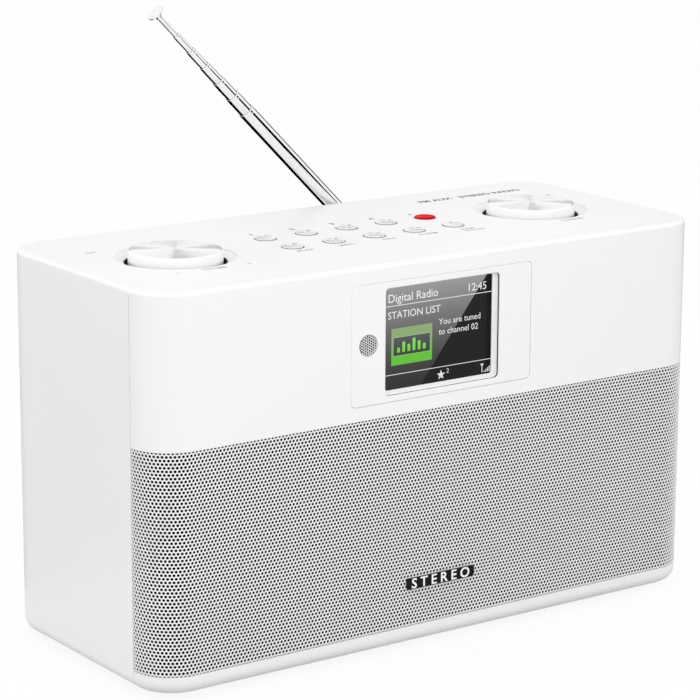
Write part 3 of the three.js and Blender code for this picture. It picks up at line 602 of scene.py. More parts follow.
def dress(piece, name, body, material, nodes=(), place=cabinetFrame, smooth=35, closed=True):
    piece.name = piece.data.name = name
    piece.data.transform(place)
    if closed:
        faceOut(piece)
    piece.data.materials.clear()
    piece.data.materials.append(material)
    piece.data.shade_smooth()
    piece.data.set_sharp_from_angle(angle=math.radians(smooth))
    weights = piece.modifiers.new("even_normals", "WEIGHTED_NORMAL")
    weights.keep_sharp = True
    weights.weight = 100
    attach(piece, body)
    if nodes:
        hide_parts(*nodes)
    return piece


# Lettering and marks: flat shapes, a few hundredths of a millimetre thick
halfInk = 0.01


def words(text, size, x, y, align="CENTER", weight=0.0):
    curve = bpy.data.curves.new("words", "FONT")
    curve.body = text
    curve.size = size
    curve.offset = weight * size
    curve.align_x = align
    curve.resolution_u = 3
    curve.extrude = halfInk
    holder = bpy.data.objects.new("words", curve)
    bpy.context.scene.collection.objects.link(holder)
    mesh = bpy.data.meshes.new_from_object(holder.evaluated_get(bpy.context.evaluated_depsgraph_get()))
    bpy.data.objects.remove(holder)
    mesh.transform(Matrix.Translation((x, y, 0)))
    piece = bpy.data.objects.new("words", mesh)
    bpy.context.scene.collection.objects.link(piece)
    return piece


def mark(outline):  # a flat shape from an outline in x and y
    count = len(outline)
    points = [(x, y, z) for z in (-halfInk, halfInk) for x, y in outline]
    faces = [tuple(range(count - 1, -1, -1)), tuple(range(count, 2 * count))]
    faces += [(i, (i + 1) % count, (i + 1) % count + count, i + count) for i in range(count)]
    return newPiece("mark", points, faces)


def stripe(x0, x1, y0, y1):
    return mark([(x0, y0), (x1, y0), (x1, y1), (x0, y1)])


# Cabinet
front = {
    "trimHeight": 8.5,  # bottom trim under the grille
    "grilleTop": 107.5,
    "speakerX": 78,
    "coneOpening": 35,
    "postX": 126,
    "postHeights": (22, 148.8),
    "postRadius": 5,
    "screwRadius": 1.65,
    "screwLength": 12,
}
grille = {
    "thickness": 0.8,
    "sheet": 0.25,  # drawn thin, so that the holes stay open when they are seen from the side
    "clothThickness": 0.4,
    "clothMesh": (160, 24),  # steps across and up
    "gap": 0.3,
    "edgeGap": 0.05,
    "pitch": 1.81,
    "holeRadius": 0.72,  # to the corners of the six-sided hole
    "topRow": 107.35,  # the top row of holes is cut by the sheet's edge
}
panel = {
    "x": -1.1,
    "z": 140.9,
    "width": 99,
    "height": 54.2,
    "corner": 2.5,
    "windowWidth": 62.7,
    "windowHeight": 48.2,
    "windowCorner": 2,
    "windowRound": 0.2,
    "rebateDepth": 1.8,  # from the front face to the white ledge round the pane
    "sightWidth": 58.6,  # the ledge's opening
    "sightHeight": 45.7,
    "sightCorner": 1,
    "sightShift": (-0.7, 0.65),  # from the panel's middle
    "windowDepth": 2.6,
    "shadeGasket": (0.4, 1.3),  # depths of the black seal in the window's wall, painted shade for the shadow line round the pane
    "shadeGasketReach": 0.6,
    "edgeGap": 0.12,
    "glassMargin": 2,
    "glassThickness": 1.2,
    "flangeThickness": 1.6,  # behind the front frame's wall
    "flangeMargin": 3,
    "edgeRound": 0.3,
    "shadeSealInset": 0.02,
    "sensorRadius": 4.6,
    "sensorX": -41.45,
}
speakerZ = (front["trimHeight"] + front["grilleTop"]) / 2
outerForm = cabinetForm(0, 0, 0, 0, topZ, cabinet["bottomRound"], cabinet["topRound"])
innerForm = cabinetForm(cabinet["sideWall"], cabinet["frontWall"], cabinet["backWall"], cabinet["floorWall"],
                        topZ + cut, cabinet["bottomRound"] - cabinet["floorWall"], 0)
shell = combine(copyOf(outerForm), innerForm)


def frontFrame():
    band = 2 * grille["gap"] + grille["thickness"] + grille["clothThickness"]
    around = block(-beyond, beyond, -cut, cabinet["frameDepth"], -cut, cabinet["lidSeam"])
    piece = combine(copyOf(shell), around, "INTERSECT")
    skin = cabinetForm(band, band, band, front["trimHeight"] - cut, front["grilleTop"] + cut, 0, 0)
    recess = block(-beyond, beyond, -cut, cabinet["frameDepth"] + cut, front["trimHeight"],
                   front["grilleTop"])
    combine(piece, combine(recess, skin))
    for x in (-front["speakerX"], front["speakerX"]):
        hole = put(bar(front["coneOpening"], 0, cabinet["frontWall"] + 2 * cut), x, -cut, speakerZ, "y")
        combine(piece, hole)
    combine(piece, plate("opening", panel["width"], panel["height"], panel["corner"], -cut,
                         cabinet["frontWall"] + cut, panel["x"], panel["z"]))
    postEnd = backInside - grille["gap"]
    posts = []
    for x in (-front["postX"], front["postX"]):
        for z in front["postHeights"]:
            start = cabinet["frontWall"] - 1
            post = put(bar(front["postRadius"], 0, postEnd - start, 32), x, start, z, "y")
            pilot = bar(front["screwRadius"], 0, front["screwLength"] + cut, 24)
            combine(post, put(pilot, x, postEnd - front["screwLength"], z, "y"))
            posts.append(post)
    combine(piece, joined("posts", posts), "UNION")
    return dress(piece, "front_shell", "chassis", whiteAbs, ["front_frame"])


back = {
    "counterbore": 1.8,
    "screwHead": 3.5,
    "bushRadius": 8.05,
    "bushFlange": 10.45,
    "bushFlangeDepth": 1.5,
    "portRadius": 18.8,
    "portFlange": 25.3,
    "portFlangeDepth": 1.9,
    "portX": -95,
    "portZ": 60,
    "plateX": 49,
    "plateZ": 40,
    "plateWidth": 48,
    "plateHeight": 20,
    "plateCorner": 3,
    "plateDepth": 1.5,
    "plateLedge": 4,
    "bossLength": 18,
    "bossRadius": 3.5,
    "bossX": (-38, 78),
    "bossZ": (33, 116.8),
}
feet = {"radius": 7, "recess": 1, "sole": 5, "soleHeight": 0.8, "gap": 0.3}
pivot = middleOf("antenna_pin")


def rearCabinet():
    start = cabinet["frameDepth"] + cabinet["seamGap"]
    piece = combine(copyOf(shell), block(-beyond, beyond, start, depth + cut, -cut, cabinet["lidSeam"]),
                    "INTERSECT")
    bosses = []
    for x in back["bossX"]:
        for z in back["bossZ"]:
            boss = bar(back["bossRadius"], 0, back["bossLength"] + 1, 32)
            bosses.append(put(boss, x, backInside - back["bossLength"], z, "y"))
    combine(piece, joined("bosses", bosses), "UNION")
    holes = []
    for x in (-front["postX"], front["postX"]):
        for z in front["postHeights"]:
            holes.append((back["screwHead"], back["counterbore"], x, z))
            holes.append((front["screwRadius"], cabinet["backWall"] + cut, x, z))
    holes.append((back["bushRadius"], cabinet["backWall"] + cut, pivot.x, pivot.z))
    holes.append((back["bushFlange"], back["bushFlangeDepth"], pivot.x, pivot.z))
    holes.append((back["portRadius"], cabinet["backWall"] + cut, back["portX"], back["portZ"]))
    holes.append((back["portFlange"], back["portFlangeDepth"], back["portX"], back["portZ"]))
    for radius, sunk, x, z in holes:
        combine(piece, put(bar(radius, 0, sunk + cut, 64), x, depth - sunk, z, "y"))
    gap = 2 * grille["gap"]
    combine(piece, plate("seat", back["plateWidth"] + gap, back["plateHeight"] + gap, back["plateCorner"],
                         depth - back["plateDepth"] - grille["gap"], depth + cut,
                         back["plateX"], back["plateZ"]))
    combine(piece, plate("way", back["plateWidth"] - 2 * back["plateLedge"],
                         back["plateHeight"] - back["plateLedge"], back["plateCorner"],
                         backInside - cut, depth + cut, back["plateX"], back["plateZ"]))
    for node in footNodes:
        place = middleOf(node)
        seat = bar(feet["radius"] + grille["gap"], -cut, feet["recess"], 48)
        combine(piece, put(seat, place.x, place.y))
    return dress(piece, "rear_shell", "chassis", whiteAbs, ["rear_cabinet"])


knob = {
    "radius": 20.9,
    "rise": 3.4,
    "skirt": 7.5,
    "wall": 2,
    "crown": 2.6,
    "chamfer": 0.4,
    "capRadius": 20.1,
    "capThickness": 0.6,
    "capSetting": 0.1,  # the face's edge lies this far below the rim
    "capCrown": 0.6,  # how far the middle of the face stands above its edge
    "recess": 0.9,
    "dishRadius": 27,
    "dishDepth": 2.1,
    "dishLip": 0.45,  # the small step that draws the dish's outline
    "wellRadius": 22.8,
    "wellDepth": 9.5,
    "wellWall": 1.6,
    "neckRadius": 4.5,
    "boreRadius": 3.15,
    "hubRadius": 5,
    "recessGap": 0.15,
    "edgeTurn": 0.1,
    "faceShares": (0.9, 0.8, 0.7, 0.6, 0.5, 0.3),  # of the radius, where the crown is drawn
    # painted shade: the black liner in each knob's well stands in for the shadow in the gap
    "shadeLinerThickness": 0.4,
    "shadeLinerNeckGap": 1,
    "shadeLinerDrop": 0.1,  # below the dish
}
button = {
    "radius": 4.85,
    "rise": 0.8,
    "dish": 0.45,
    "rim": 0.3,
    "hole": 5.25,
    "flange": 6.5,
    "flangeTop": -3.3,
    "flangeThickness": 1.2,
    "stemRadius": 1.75,
    "stemEnd": -19.5,
    "perRow": 5,
    "dishShares": (0.95, 0.8, 0.6, 0.4, 0.2),
    # a dark grey collar in each hole, painted shade for the shadow gap round the button
    "shadeCollarRise": 0.12,
    "shadeCollarFoot": 0.2,  # above the flange
    "shadeCollarGaps": (0.06, 0.02),  # to the button and to the hole
}
lip = {  # the lid's inner wall and the posts that carry the control board
    "height": 4,
    "thickness": 1.6,
    "setback": 8,
    "overlap": 1,
    "postRadius": 3,
    "postX": 64,
    "postSpacing": 21.8,
    "postEnd": 152.1,
}
knobPlaces = {side: middleOf(side + "_knob") for side in ("volume", "tuning")}
buttonPlaces = [middleOf(f"button_{number}") for number in range(1, 2 * button["perRow"] + 1)]
footNodes = ["foot_front_left", "foot_rear_left", "foot_front_right", "foot_rear_right"]


def topPanel():
    seam = cabinet["lidSeam"]
    above = block(-beyond, beyond, -cut, depth + cut, seam, topZ + cut)
    piece = combine(copyOf(outerForm), above, "INTERSECT")
    outside = cabinet["sideWall"] + grille["gap"]
    behind = cabinet["backWall"] + grille["gap"]
    ring = cabinetForm(outside, outside, behind, seam - lip["height"], seam + lip["overlap"], 0, 0)
    inside = outside + lip["thickness"]
    combine(ring, cabinetForm(inside, inside, behind + lip["thickness"], seam - lip["height"] - cut,
                              seam + cut, 0, 0))
    start = cabinet["frameDepth"] + cabinet["seamGap"] + lip["setback"]
    combine(ring, block(-beyond, beyond, start, depth, seam - lip["height"] - cut, seam + cut),
            "INTERSECT")
    below = [ring]
    wellFloor = topZ - knob["wellDepth"]
    dishDrop = knob["dishDepth"] - knob["dishLip"]
    for place in knobPlaces.values():
        pot = bar(knob["wellRadius"] + knob["wellWall"], wellFloor - knob["wellWall"],
                  seam + lip["overlap"], 96)
        below.append(put(pot, place.x, middleY))
    for x in (-lip["postX"], lip["postX"]):
        for y in (middleY - lip["postSpacing"] / 2, middleY + lip["postSpacing"] / 2):
            below.append(put(bar(lip["postRadius"], lip["postEnd"], seam + lip["overlap"], 24), x, y))
    for part in below:
        combine(piece, part, "UNION")
    dishWidth = knob["dishRadius"] - knob["wellRadius"]
    bowl = [(knob["wellRadius"] + dishWidth * share, topZ - knob["dishLip"] - dishDrop * (1 - share) ** 1.15)
            for share in np.linspace(0, 1, 7)]
    for place in knobPlaces.values():
        well = turned("well", [(0, wellFloor), (knob["wellRadius"], wellFloor), *bowl,
                               (knob["dishRadius"], topZ + cut), (0, topZ + cut)], 128)
        combine(piece, put(well, place.x, middleY))
        neck = bar(knob["neckRadius"], wellFloor - knob["wellWall"] - cut, topZ, 32)
        combine(piece, put(neck, place.x, middleY))
    for place in buttonPlaces:
        combine(piece, put(bar(button["hole"], seam - cut, topZ + cut, 48), place.x, place.y))
    return dress(piece, "top_shell", "chassis", whiteAbs, ["top_panel"])


frontFrame()
rearCabinet()
topPanel()
bpy.data.objects.remove(shell)
bpy.data.objects.remove(outerForm)
print("cabinet shells made")


# Grille: a steel sheet with staggered holes, pressed round both front corners
def perforated(name, width, low, high, topRow, pitch, hole, thickness):
    rowPitch = pitch * math.sqrt(3) / 2
    rows = int((high - low) / rowPitch) + 4
    columns = int(width / pitch) + 4
    firstRow = topRow + rowPitch - (rows - 1) * rowPitch
    corners = [(hole * math.cos(angle), hole * math.sin(angle))
               for angle in (math.radians(30 + 60 * k) for k in range(6))]
    across = (np.arange(columns) - columns / 2) * pitch
    rowIndex, columnIndex = np.meshgrid(np.arange(rows), np.arange(columns), indexing="ij")
    u = across[columnIndex] + (rowIndex % 2) * pitch / 2
    v = firstRow + rowIndex * rowPitch
    ringU = u[..., None] + np.array([c[0] for c in corners])
    ringV = v[..., None] + np.array([c[1] for c in corners])
    count = rows * columns * 6
    points = np.zeros((2 * count, 3))
    points[:, 0] = np.tile(ringU.ravel(), 2)
    points[:, 2] = np.tile(ringV.ravel(), 2)
    points[count:, 1] = thickness

    def corner(row, column, k):
        return (row * columns + column) * 6 + k

    faces = []
    for row in range(rows):
        for column in range(columns):
            own = [corner(row, column, k) for k in range(6)]
            for k in range(6):
                after = (k + 1) % 6
                faces.append((own[k], own[after], own[after] + count, own[k] + count))
            web = []
            right = column + 1 < columns
            shift = row % 2
            upRight, upLeft = column + shift, column + shift - 1
            if right:
                web.append((own[5], corner(row, column + 1, 3), corner(row, column + 1, 2), own[0]))
            if row + 1 < rows:
                if upRight < columns:
                    web.append((own[0], corner(row + 1, upRight, 4), corner(row + 1, upRight, 3), own[1]))
                    if right:
                        web.append((own[0], corner(row, column + 1, 2), corner(row + 1, upRight, 4)))
                if upLeft >= 0:
                    web.append((own[1], corner(row + 1, upLeft, 5), corner(row + 1, upLeft, 4), own[2]))
                    if upRight < columns:
                        web.append((own[1], corner(row + 1, upRight, 3), corner(row + 1, upLeft, 5)))
            faces += web
            faces += [tuple(index + count for index in reversed(face)) for face in web]
    return newPiece(name, points, faces)


def trim(piece, planes):  # cuts a sheet off at planes of (point, outward direction) and closes it
    form = bmesh.new()
    form.from_mesh(piece.data)
    for point, outward in planes:
        whole = form.verts[:] + form.edges[:] + form.faces[:]
        kept = bmesh.ops.bisect_plane(form, geom=whole, plane_co=point, plane_no=outward, clear_outer=True)
        rim = [item for item in kept["geom_cut"] if isinstance(item, bmesh.types.BMEdge)]
        bmesh.ops.edgenet_fill(form, edges=rim)
    form.to_mesh(piece.data)
    form.free()
    return piece


def wrap(piece):  # bends a flat sheet, laid out along x, round the cabinet's front corners
    count = len(piece.data.vertices)
    flat = np.empty(count * 3)
    piece.data.vertices.foreach_get("co", flat)
    flat = flat.reshape(-1, 3)
    radius = cabinet["cornerRadius"]
    straight = halfWidth - radius
    past = np.maximum(np.abs(flat[:, 0]) - straight, 0)
    angle = past / radius
    reach = radius - flat[:, 1]
    side = np.sign(flat[:, 0])
    bent = flat.copy()
    bent[:, 0] = np.where(past > 0, side * (straight + reach * np.sin(angle)), flat[:, 0])
    bent[:, 1] = np.where(past > 0, radius - reach * np.cos(angle), flat[:, 1])
    piece.data.vertices.foreach_set("co", bent.ravel())
    piece.data.update()
    return piece


def speakerGrille():
    low = front["trimHeight"] + grille["edgeGap"]
    high = front["grilleTop"] - grille["edgeGap"]
    reach = halfWidth - cabinet["cornerRadius"] + quarter * cabinet["cornerRadius"]
    sheet = perforated("sheet", 2 * reach, low, high, grille["topRow"], grille["pitch"],
                       grille["holeRadius"], grille["sheet"])
    ends = [((0, 0, low), (0, 0, -1)), ((0, 0, high), (0, 0, 1))]
    for name, side in (("speaker_grille_left", -1), ("speaker_grille_right", 1)):
        half = trim(copyOf(sheet), ends + [((side * reach, 0, 0), (side, 0, 0)), ((0, 0, 0), (-side, 0, 0))])
        dress(wrap(half), name, "chassis", grilleCoat, ["speaker_grille"],
              smooth=25, closed=False)
    bpy.data.objects.remove(sheet)


def speakerGrilleCloth():
    low = front["trimHeight"] + grille["gap"]
    high = front["grilleTop"] - grille["gap"]
    face = grille["thickness"] + grille["gap"]
    reach = halfWidth - cabinet["cornerRadius"] + quarter * cabinet["cornerRadius"]
    steps, rows = grille["clothMesh"]
    points = []
    for y in (face, face + grille["clothThickness"]):
        for row in range(rows + 1):
            for step in range(steps + 1):
                points.append((-reach + 2 * reach * step / steps, y, low + (high - low) * row / rows))
    layer = (steps + 1) * (rows + 1)
    faces = []
    for row in range(rows):
        for step in range(steps):
            a = row * (steps + 1) + step
            b = a + steps + 1
            faces.append((a, a + 1, b + 1, b))
            faces.append((b + layer, b + 1 + layer, a + 1 + layer, a + layer))
    edge = [*range(steps + 1), *(row * (steps + 1) + steps for row in range(1, rows + 1)),
            *(rows * (steps + 1) + step for step in range(steps - 1, -1, -1)),
            *(row * (steps + 1) for row in range(rows - 1, 0, -1))]
    for i, a in enumerate(edge):
        b = edge[(i + 1) % len(edge)]
        faces.append((a, a + layer, b + layer, b))
    cloth = wrap(newPiece("cloth", points, faces))
    dress(cloth, "stretched_cloth", "chassis", clothWeave, ["grille_cloth"])


badge = {
    "width": 37.5,
    "height": 5.2,
    "thickness": 1,
    "x": -1.3,
    "z": 28.6,
    "rim": 0.3,
    "rimRound": 0.08,
    "corner": 1.2,
    "faceGap": 0.02,
    "faceSunk": 0.2,  # below the rim
    "word": "S T E R E O",
    "wordSize": 6.7,
    "wordWeight": 0.02,
    "wordSunk": 0.18,
    "wordDepth": 8,  # times the thickness of printed marks
}


def badgePlate():
    x, z, outer, middle = badge["x"], badge["z"], -badge["thickness"], -badge["thickness"] / 2
    width, height = badge["width"] - 2 * badge["rim"], badge["height"] - 2 * badge["rim"]
    corner, gap = badge["corner"] - badge["rim"] / 2, 2 * badge["faceGap"]
    rim = plate("rim", badge["width"], badge["height"], badge["corner"], outer, 0, x, z, 6)
    combine(rim, plate("inner", width, height, corner, outer - cut, middle, x, z, 6))
    bevel(rim, badge["rimRound"], 2)
    dress(rim, "badge_rim", "chassis", badgeMetal, ["badge_plate"])
    face = plate("face", width - gap, height - gap, corner, outer + badge["faceSunk"], middle, x, z, 6)
    dress(face, "badge_face", "chassis", badgeMetal)
    letters = words(badge["word"], badge["wordSize"], 0, 0, "CENTER", badge["wordWeight"])
    heights = [vertex.co.y for vertex in letters.data.vertices]
    centred = Matrix.Translation((0, -(min(heights) + max(heights)) / 2, 0))
    letters.data.transform(Matrix.Scale(badge["wordDepth"], 4, (0, 0, 1)) @ centred)
    upright = Matrix.Rotation(quarter, 4, "X")
    letters.data.transform(Matrix.Translation((x, outer + badge["wordSunk"], z)) @ upright)
    dress(letters, "badge_letters", "chassis", chrome)


speakerGrille()
speakerGrilleCloth()
badgePlate()
print("grille, cloth and badge made")


# Display: bezel, lit pane with its painted reflection, its picture and the light sensor's mesh
sensor = {
    "pitch": 1.16,
    "holeRadius": 0.52,
    "thickness": 0.8,
    "meshThickness": 0.15,
    "meshSunk": 0.05,
    "meshGap": 0.05,
    "backing": 0.2,
    "backingGap": 0.1,
    "lightRadius": 3,
}


def displayBezel():
    gap = grille["gap"]
    x, z = panel["x"], panel["z"]
    bezelBack = cabinet["frontWall"] + gap + panel["flangeThickness"]
    edge = 2 * panel["edgeGap"]
    piece = plate("bezel", panel["width"] - edge, panel["height"] - edge, panel["corner"], 0, bezelBack, x, z)
    bevel(piece, panel["edgeRound"], 3, 60)
    wider = 2 * panel["flangeMargin"]
    combine(piece, plate("flange", panel["width"] + wider, panel["height"] + wider, panel["corner"],
                         cabinet["frontWall"] + gap, bezelBack, x, z), "UNION")
    turn, reach = panel["windowRound"], panel["shadeGasketReach"]
    window = (panel["windowWidth"], panel["windowHeight"], panel["windowCorner"])
    shadeSealFront, shadeSealBack = panel["shadeGasket"]
    edgeTurn = [(turn * (1 - math.cos(a)), turn * (1 - math.sin(a))) for a in np.linspace(0, quarter, 4)]
    walls = [(-cut, turn), *edgeTurn, (shadeSealFront, 0), (shadeSealFront, reach), (shadeSealBack, reach),
             (shadeSealBack, 0), (panel["rebateDepth"], 0)]
    combine(piece, stack("window", *window, walls, x, z))
    # painted shade: the black seal fills the groove in the window's wall and stands in for the shadow line
    # there
    inset = panel["shadeSealInset"]
    shadeSeal = stack("shadeSeal", *window, [(shadeSealFront, reach - inset), (shadeSealBack, reach - inset)], x, z)
    combine(shadeSeal, stack("shadeSealOpening", *window, [(-cut, inset), (bezelBack, inset)], x, z))
    dress(shadeSeal, "window_shade_seal", "chassis", blackAbs)
    sightX, sightZ = x + panel["sightShift"][0], z + panel["sightShift"][1]
    combine(piece, plate("sight", panel["sightWidth"], panel["sightHeight"], panel["sightCorner"],
                         -cut, bezelBack + cut, sightX, sightZ))
    margin = 2 * panel["glassMargin"]
    combine(piece, plate("pocket", panel["sightWidth"] + margin, panel["sightHeight"] + margin,
                         panel["windowCorner"], panel["windowDepth"] - gap, bezelBack + cut, sightX, sightZ))
    well = bar(panel["sensorRadius"] + gap, 0, cut + sensor["thickness"] + gap, 64)
    combine(piece, put(well, panel["sensorX"], -cut, z, "y"))
    light = bar(sensor["lightRadius"], 0, bezelBack + 2 * cut, 32)
    combine(piece, put(light, panel["sensorX"], -cut, z, "y"))
    dress(piece, "display_surround", "chassis", whiteAbs, ["display_bezel"])


def displayPane():
    gap = 2 * grille["gap"]
    margin = 2 * panel["glassMargin"]
    pane = plate("pane", panel["sightWidth"] + margin - gap, panel["sightHeight"] + margin - gap,
                 panel["windowCorner"], panel["windowDepth"], panel["windowDepth"] + panel["glassThickness"],
                 panel["x"] + panel["sightShift"][0], panel["z"] + panel["sightShift"][1])
    dress(pane, "display_pane", "chassis", paneWithPaintedReflection(), ["display_window"])


def onPane(parts, name, material, lift):
    piece = joined(name, parts)
    piece.data.transform(Matrix.Rotation(quarter, 4, "X"))
    shiftX, shiftZ = picture["shift"]
    piece.data.transform(Matrix.Translation((shiftX, panel["windowDepth"] - lift, shiftZ)))
    return dress(piece, name, "chassis", material)


# Places on the picture are in x and height, in the cabinet's own millimetres
picture = {
    "shift": (-1.36, 0.57),
    "left": -28.1,
    "right": 29.4,
    "headerLine": 155.5,
    "footLine": 124.65,
    "lineWidth": 0.3,
    "tile": (-26, -3.8, 128.75, 145.3),
    "tilePlate": (-24.9, -5, 133, 141.1),
    "tileEdge": 0.22,
    "tileGlow": (133, 134, 141),  # heights that the tile's colours run between
    "lines": [  # text, size, x, height and side
        ("Digital Radio", 5.3, -28.1, 157.1, "LEFT"),
        ("12:45", 5, 26.3, 157, "RIGHT"),
        ("STATION LIST", 4.6, -28.1, 149.8, "LEFT"),
        ("You are tuned", 4, -0.2, 143.9, "LEFT"),
        ("to channel 02", 4, -0.2, 139.4, "LEFT"),
        ("2", 3, 4.3, 121.4, "LEFT"),
    ],
    "lineOverhang": 0.9,
    "star": (1.3, 121, 2.35),
    "starWaist": 0.42,
    "mast": (24.1, 24.5, 118.9, 122.4),
    "mastHead": [(23.3, 122.9), (24.3, 121.4), (25.3, 122.9)],
    "bars": (25.3, 118.9, 0.5, 0.95),  # x, foot, bar width and step
    "barHeights": (0.6, 1.25, 1.9, 2.55),
    "levels": (-22.9, 134.3, 1.5, 2.8),  # the same of the tile's level bars
    "levelHeights": (2.2, 4.6, 3.2, 5.6, 4, 2.6),
    "lift": {"words": 0.03, "tile": 0.03, "tile_edge": 0.045, "tile_plate": 0.06, "tile_levels": 0.08},
}


def barRow(x, foot, width, step, heights):
    return [stripe(x + k * step, x + k * step + width, foot, foot + height)
            for k, height in enumerate(heights)]


def displayPicture():
    left, right, line = picture["left"], picture["right"], picture["lineWidth"] / 2
    white = litCells("white_cells", "#f2f2f2", "#e2e2e2", picture["footLine"], screen["high"])
    starX, starZ, starRadius = picture["star"]
    star = []
    for k in range(10):
        angle = quarter + k * math.pi / 5
        reach = starRadius if k % 2 == 0 else starRadius * picture["starWaist"]
        star.append((starX + reach * math.cos(angle), starZ + reach * math.sin(angle)))
    overhang = left - picture["lineOverhang"]
    parts = [words(*entry) for entry in picture["lines"]]
    for height in (picture["headerLine"], picture["footLine"]):
        parts.append(stripe(overhang, right, height - line, height + line))
    parts += [mark(star), stripe(*picture["mast"]), mark(picture["mastHead"])]
    parts += barRow(*picture["bars"], picture["barHeights"])
    tile, plateArea, edge = picture["tile"], picture["tilePlate"], picture["tileEdge"]
    x0, x1, z0, z1 = plateArea
    foot, middle, top = picture["tileGlow"]
    shapes = {
        "words": (parts, white),
        "tile": ([stripe(*tile)], litCells("green_cells", "#8cab72", "#63bf3c", middle, top)),
        "tile_plate": ([stripe(*plateArea)], litCells("slate_cells", "#55585a", "#3d4042", foot, top)),
        "tile_edge": ([stripe(x0 - edge, x1 + edge, z0 - edge, z1 + edge)],
                      litCells("pale_green_cells", "#a9c49c", "#8fd07a", foot, top)),
        "tile_levels": (barRow(*picture["levels"], picture["levelHeights"]),
                        litCells("lime_cells", "#8ee35a", "#6bd038", middle, top)),
    }
    for name, (flat, cells) in shapes.items():
        onPane(flat, "screen_" + name, cells, picture["lift"][name])


def sensorMesh():
    radius = panel["sensorRadius"]
    sheet = perforated("mesh", 2 * radius, -radius, radius, radius, sensor["pitch"],
                       sensor["holeRadius"], sensor["meshThickness"])
    sheet.data.transform(Matrix.Rotation(quarter, 4, "Y"))
    disc = bar(radius - sensor["meshGap"], 0, sensor["meshThickness"] + cut, 64)
    combine(sheet, put(disc, 0, -cut / 2, 0, "y"), "INTERSECT")
    sheet.data.transform(Matrix.Translation((panel["sensorX"], sensor["meshSunk"], panel["z"])))
    dress(sheet, "sensor_mesh_disc", "chassis", grilleCoat, ["sensor_mesh"], smooth=25)
    backing = put(bar(radius - sensor["backingGap"], 0, sensor["backing"], 48), panel["sensorX"],
                  sensor["thickness"] - sensor["backing"], panel["z"], "y")
    dress(backing, "sensor_backing", "chassis", blackAbs)


displayBezel()
displayPane()
displayPicture()
sensorMesh()
print("display made")


# Knobs: a lacquered body with a spun aluminium face
def knobPieces(side):
    place = knobPlaces[side]
    spot = cabinetFrame @ Matrix.Translation((place.x, middleY, topZ))
    under = knob["rise"] - knob["crown"]
    recess = knob["capRadius"] + knob["recessGap"]
    recessFloor = knob["rise"] - knob["recess"]
    profile = rounded([
        (0, under, 0), (knob["boreRadius"], under, 0), (knob["boreRadius"], -knob["skirt"], 0.2),
        (knob["hubRadius"], -knob["skirt"], 0.3), (knob["hubRadius"], under, 0.5),
        (knob["radius"] - knob["wall"], under, 0.5), (knob["radius"] - knob["wall"], -knob["skirt"], 0.4),
        (knob["radius"], -knob["skirt"], 0.4), (knob["radius"], knob["rise"] - knob["chamfer"], 0.25),
        (knob["radius"] - knob["chamfer"], knob["rise"], 0.25), (recess, knob["rise"], 0.1),
        (recess, recessFloor, 0), (0, recessFloor, 0),
    ], 4)
    body = side + "_control"
    dress(turned("knob", profile, 160), side + "_knob_body", body, lacquer,
          [side + "_knob"], spot, 25)
    top = knob["rise"]
    edge, crown, low = top - knob["capSetting"], knob["capCrown"], top - knob["capThickness"]
    radius, turn = knob["capRadius"], knob["edgeTurn"]
    face = [(radius * share, edge + crown * (1 - share ** 2)) for share in knob["faceShares"]]
    cap = turned("cap", [(0, low), (radius, low), (radius, edge - turn), (radius - turn, edge), *face,
                         (0, edge + crown)], 160)
    middle = cabinetFrame @ Vector((place.x, middleY, topZ))
    dress(cap, side + "_knob_face", body, spunAluminium(side + "_spun_aluminium", middle),
          [side + "_knob_cap"], spot, 30)


def wellShadeLiner(side):  # painted shade: a black ring in the gap round the knob stands in for the gap's shadow
    place = knobPlaces[side]
    inner, outer = knob["neckRadius"] + knob["shadeLinerNeckGap"], knob["wellRadius"]
    thickness = knob["shadeLinerThickness"]
    low, high = topZ - knob["wellDepth"], topZ - knob["dishDepth"] - knob["shadeLinerDrop"]
    ring = turned("liner", [(inner, low), (outer, low), (outer, high), (outer - thickness, high),
                            (outer - thickness, low + thickness), (inner, low + thickness)], 96)
    dress(put(ring, place.x, middleY), side + "_well_shade_liner", "chassis", blackAbs)


def buttonPiece(number):
    place = buttonPlaces[number - 1]
    spot = cabinetFrame @ Matrix.Translation((place.x, place.y, topZ))
    edge = button["radius"] - button["rim"]
    dish = [(edge * share, button["rise"] - button["dish"] * (1 - share ** 2))
            for share in button["dishShares"]]
    flangeLow = button["flangeTop"] - button["flangeThickness"]
    profile = rounded([
        (0, button["stemEnd"], 0), (button["stemRadius"], button["stemEnd"], 0.3),
        (button["stemRadius"], flangeLow, 0.4), (button["flange"], flangeLow, 0.2),
        (button["flange"], button["flangeTop"], 0.2), (button["radius"], button["flangeTop"], 0),
        (button["radius"], button["rise"], button["rim"]), (edge, button["rise"], 0),
    ], 4) + dish + [(0, button["rise"] - button["dish"])]
    isRed = number == button["perRow"]
    dress(turned("button", profile, 64), f"key_cap_{number}", f"key_{number}",
          redAbs if isRed else buttonAbs,
          [f"button_{number}"], spot, 30)


def buttonShadeCollar(number):  # painted shade: a thin dark grey ring lines each hole and stands in for the shadow gap that draws the button's outline
    place = buttonPlaces[number - 1]
    innerGap, outerGap = button["shadeCollarGaps"]
    inner, outer = button["radius"] + innerGap, button["hole"] - outerGap
    foot = button["flangeTop"] + button["shadeCollarFoot"]
    ring = turned("collar", [(inner, foot), (outer, foot), (outer, button["shadeCollarRise"]),
                             (inner, button["shadeCollarRise"])], 64)
    dress(ring, f"key_shade_collar_{number}", "chassis", shadeCollarAbs,
          place=cabinetFrame @ Matrix.Translation((place.x, place.y, topZ)))


for side in knobPlaces:
    knobPieces(side)
    wellShadeLiner(side)
for number in range(1, 2 * button["perRow"] + 1):
    buttonPiece(number)
    buttonShadeCollar(number)
print("knobs and buttons made")


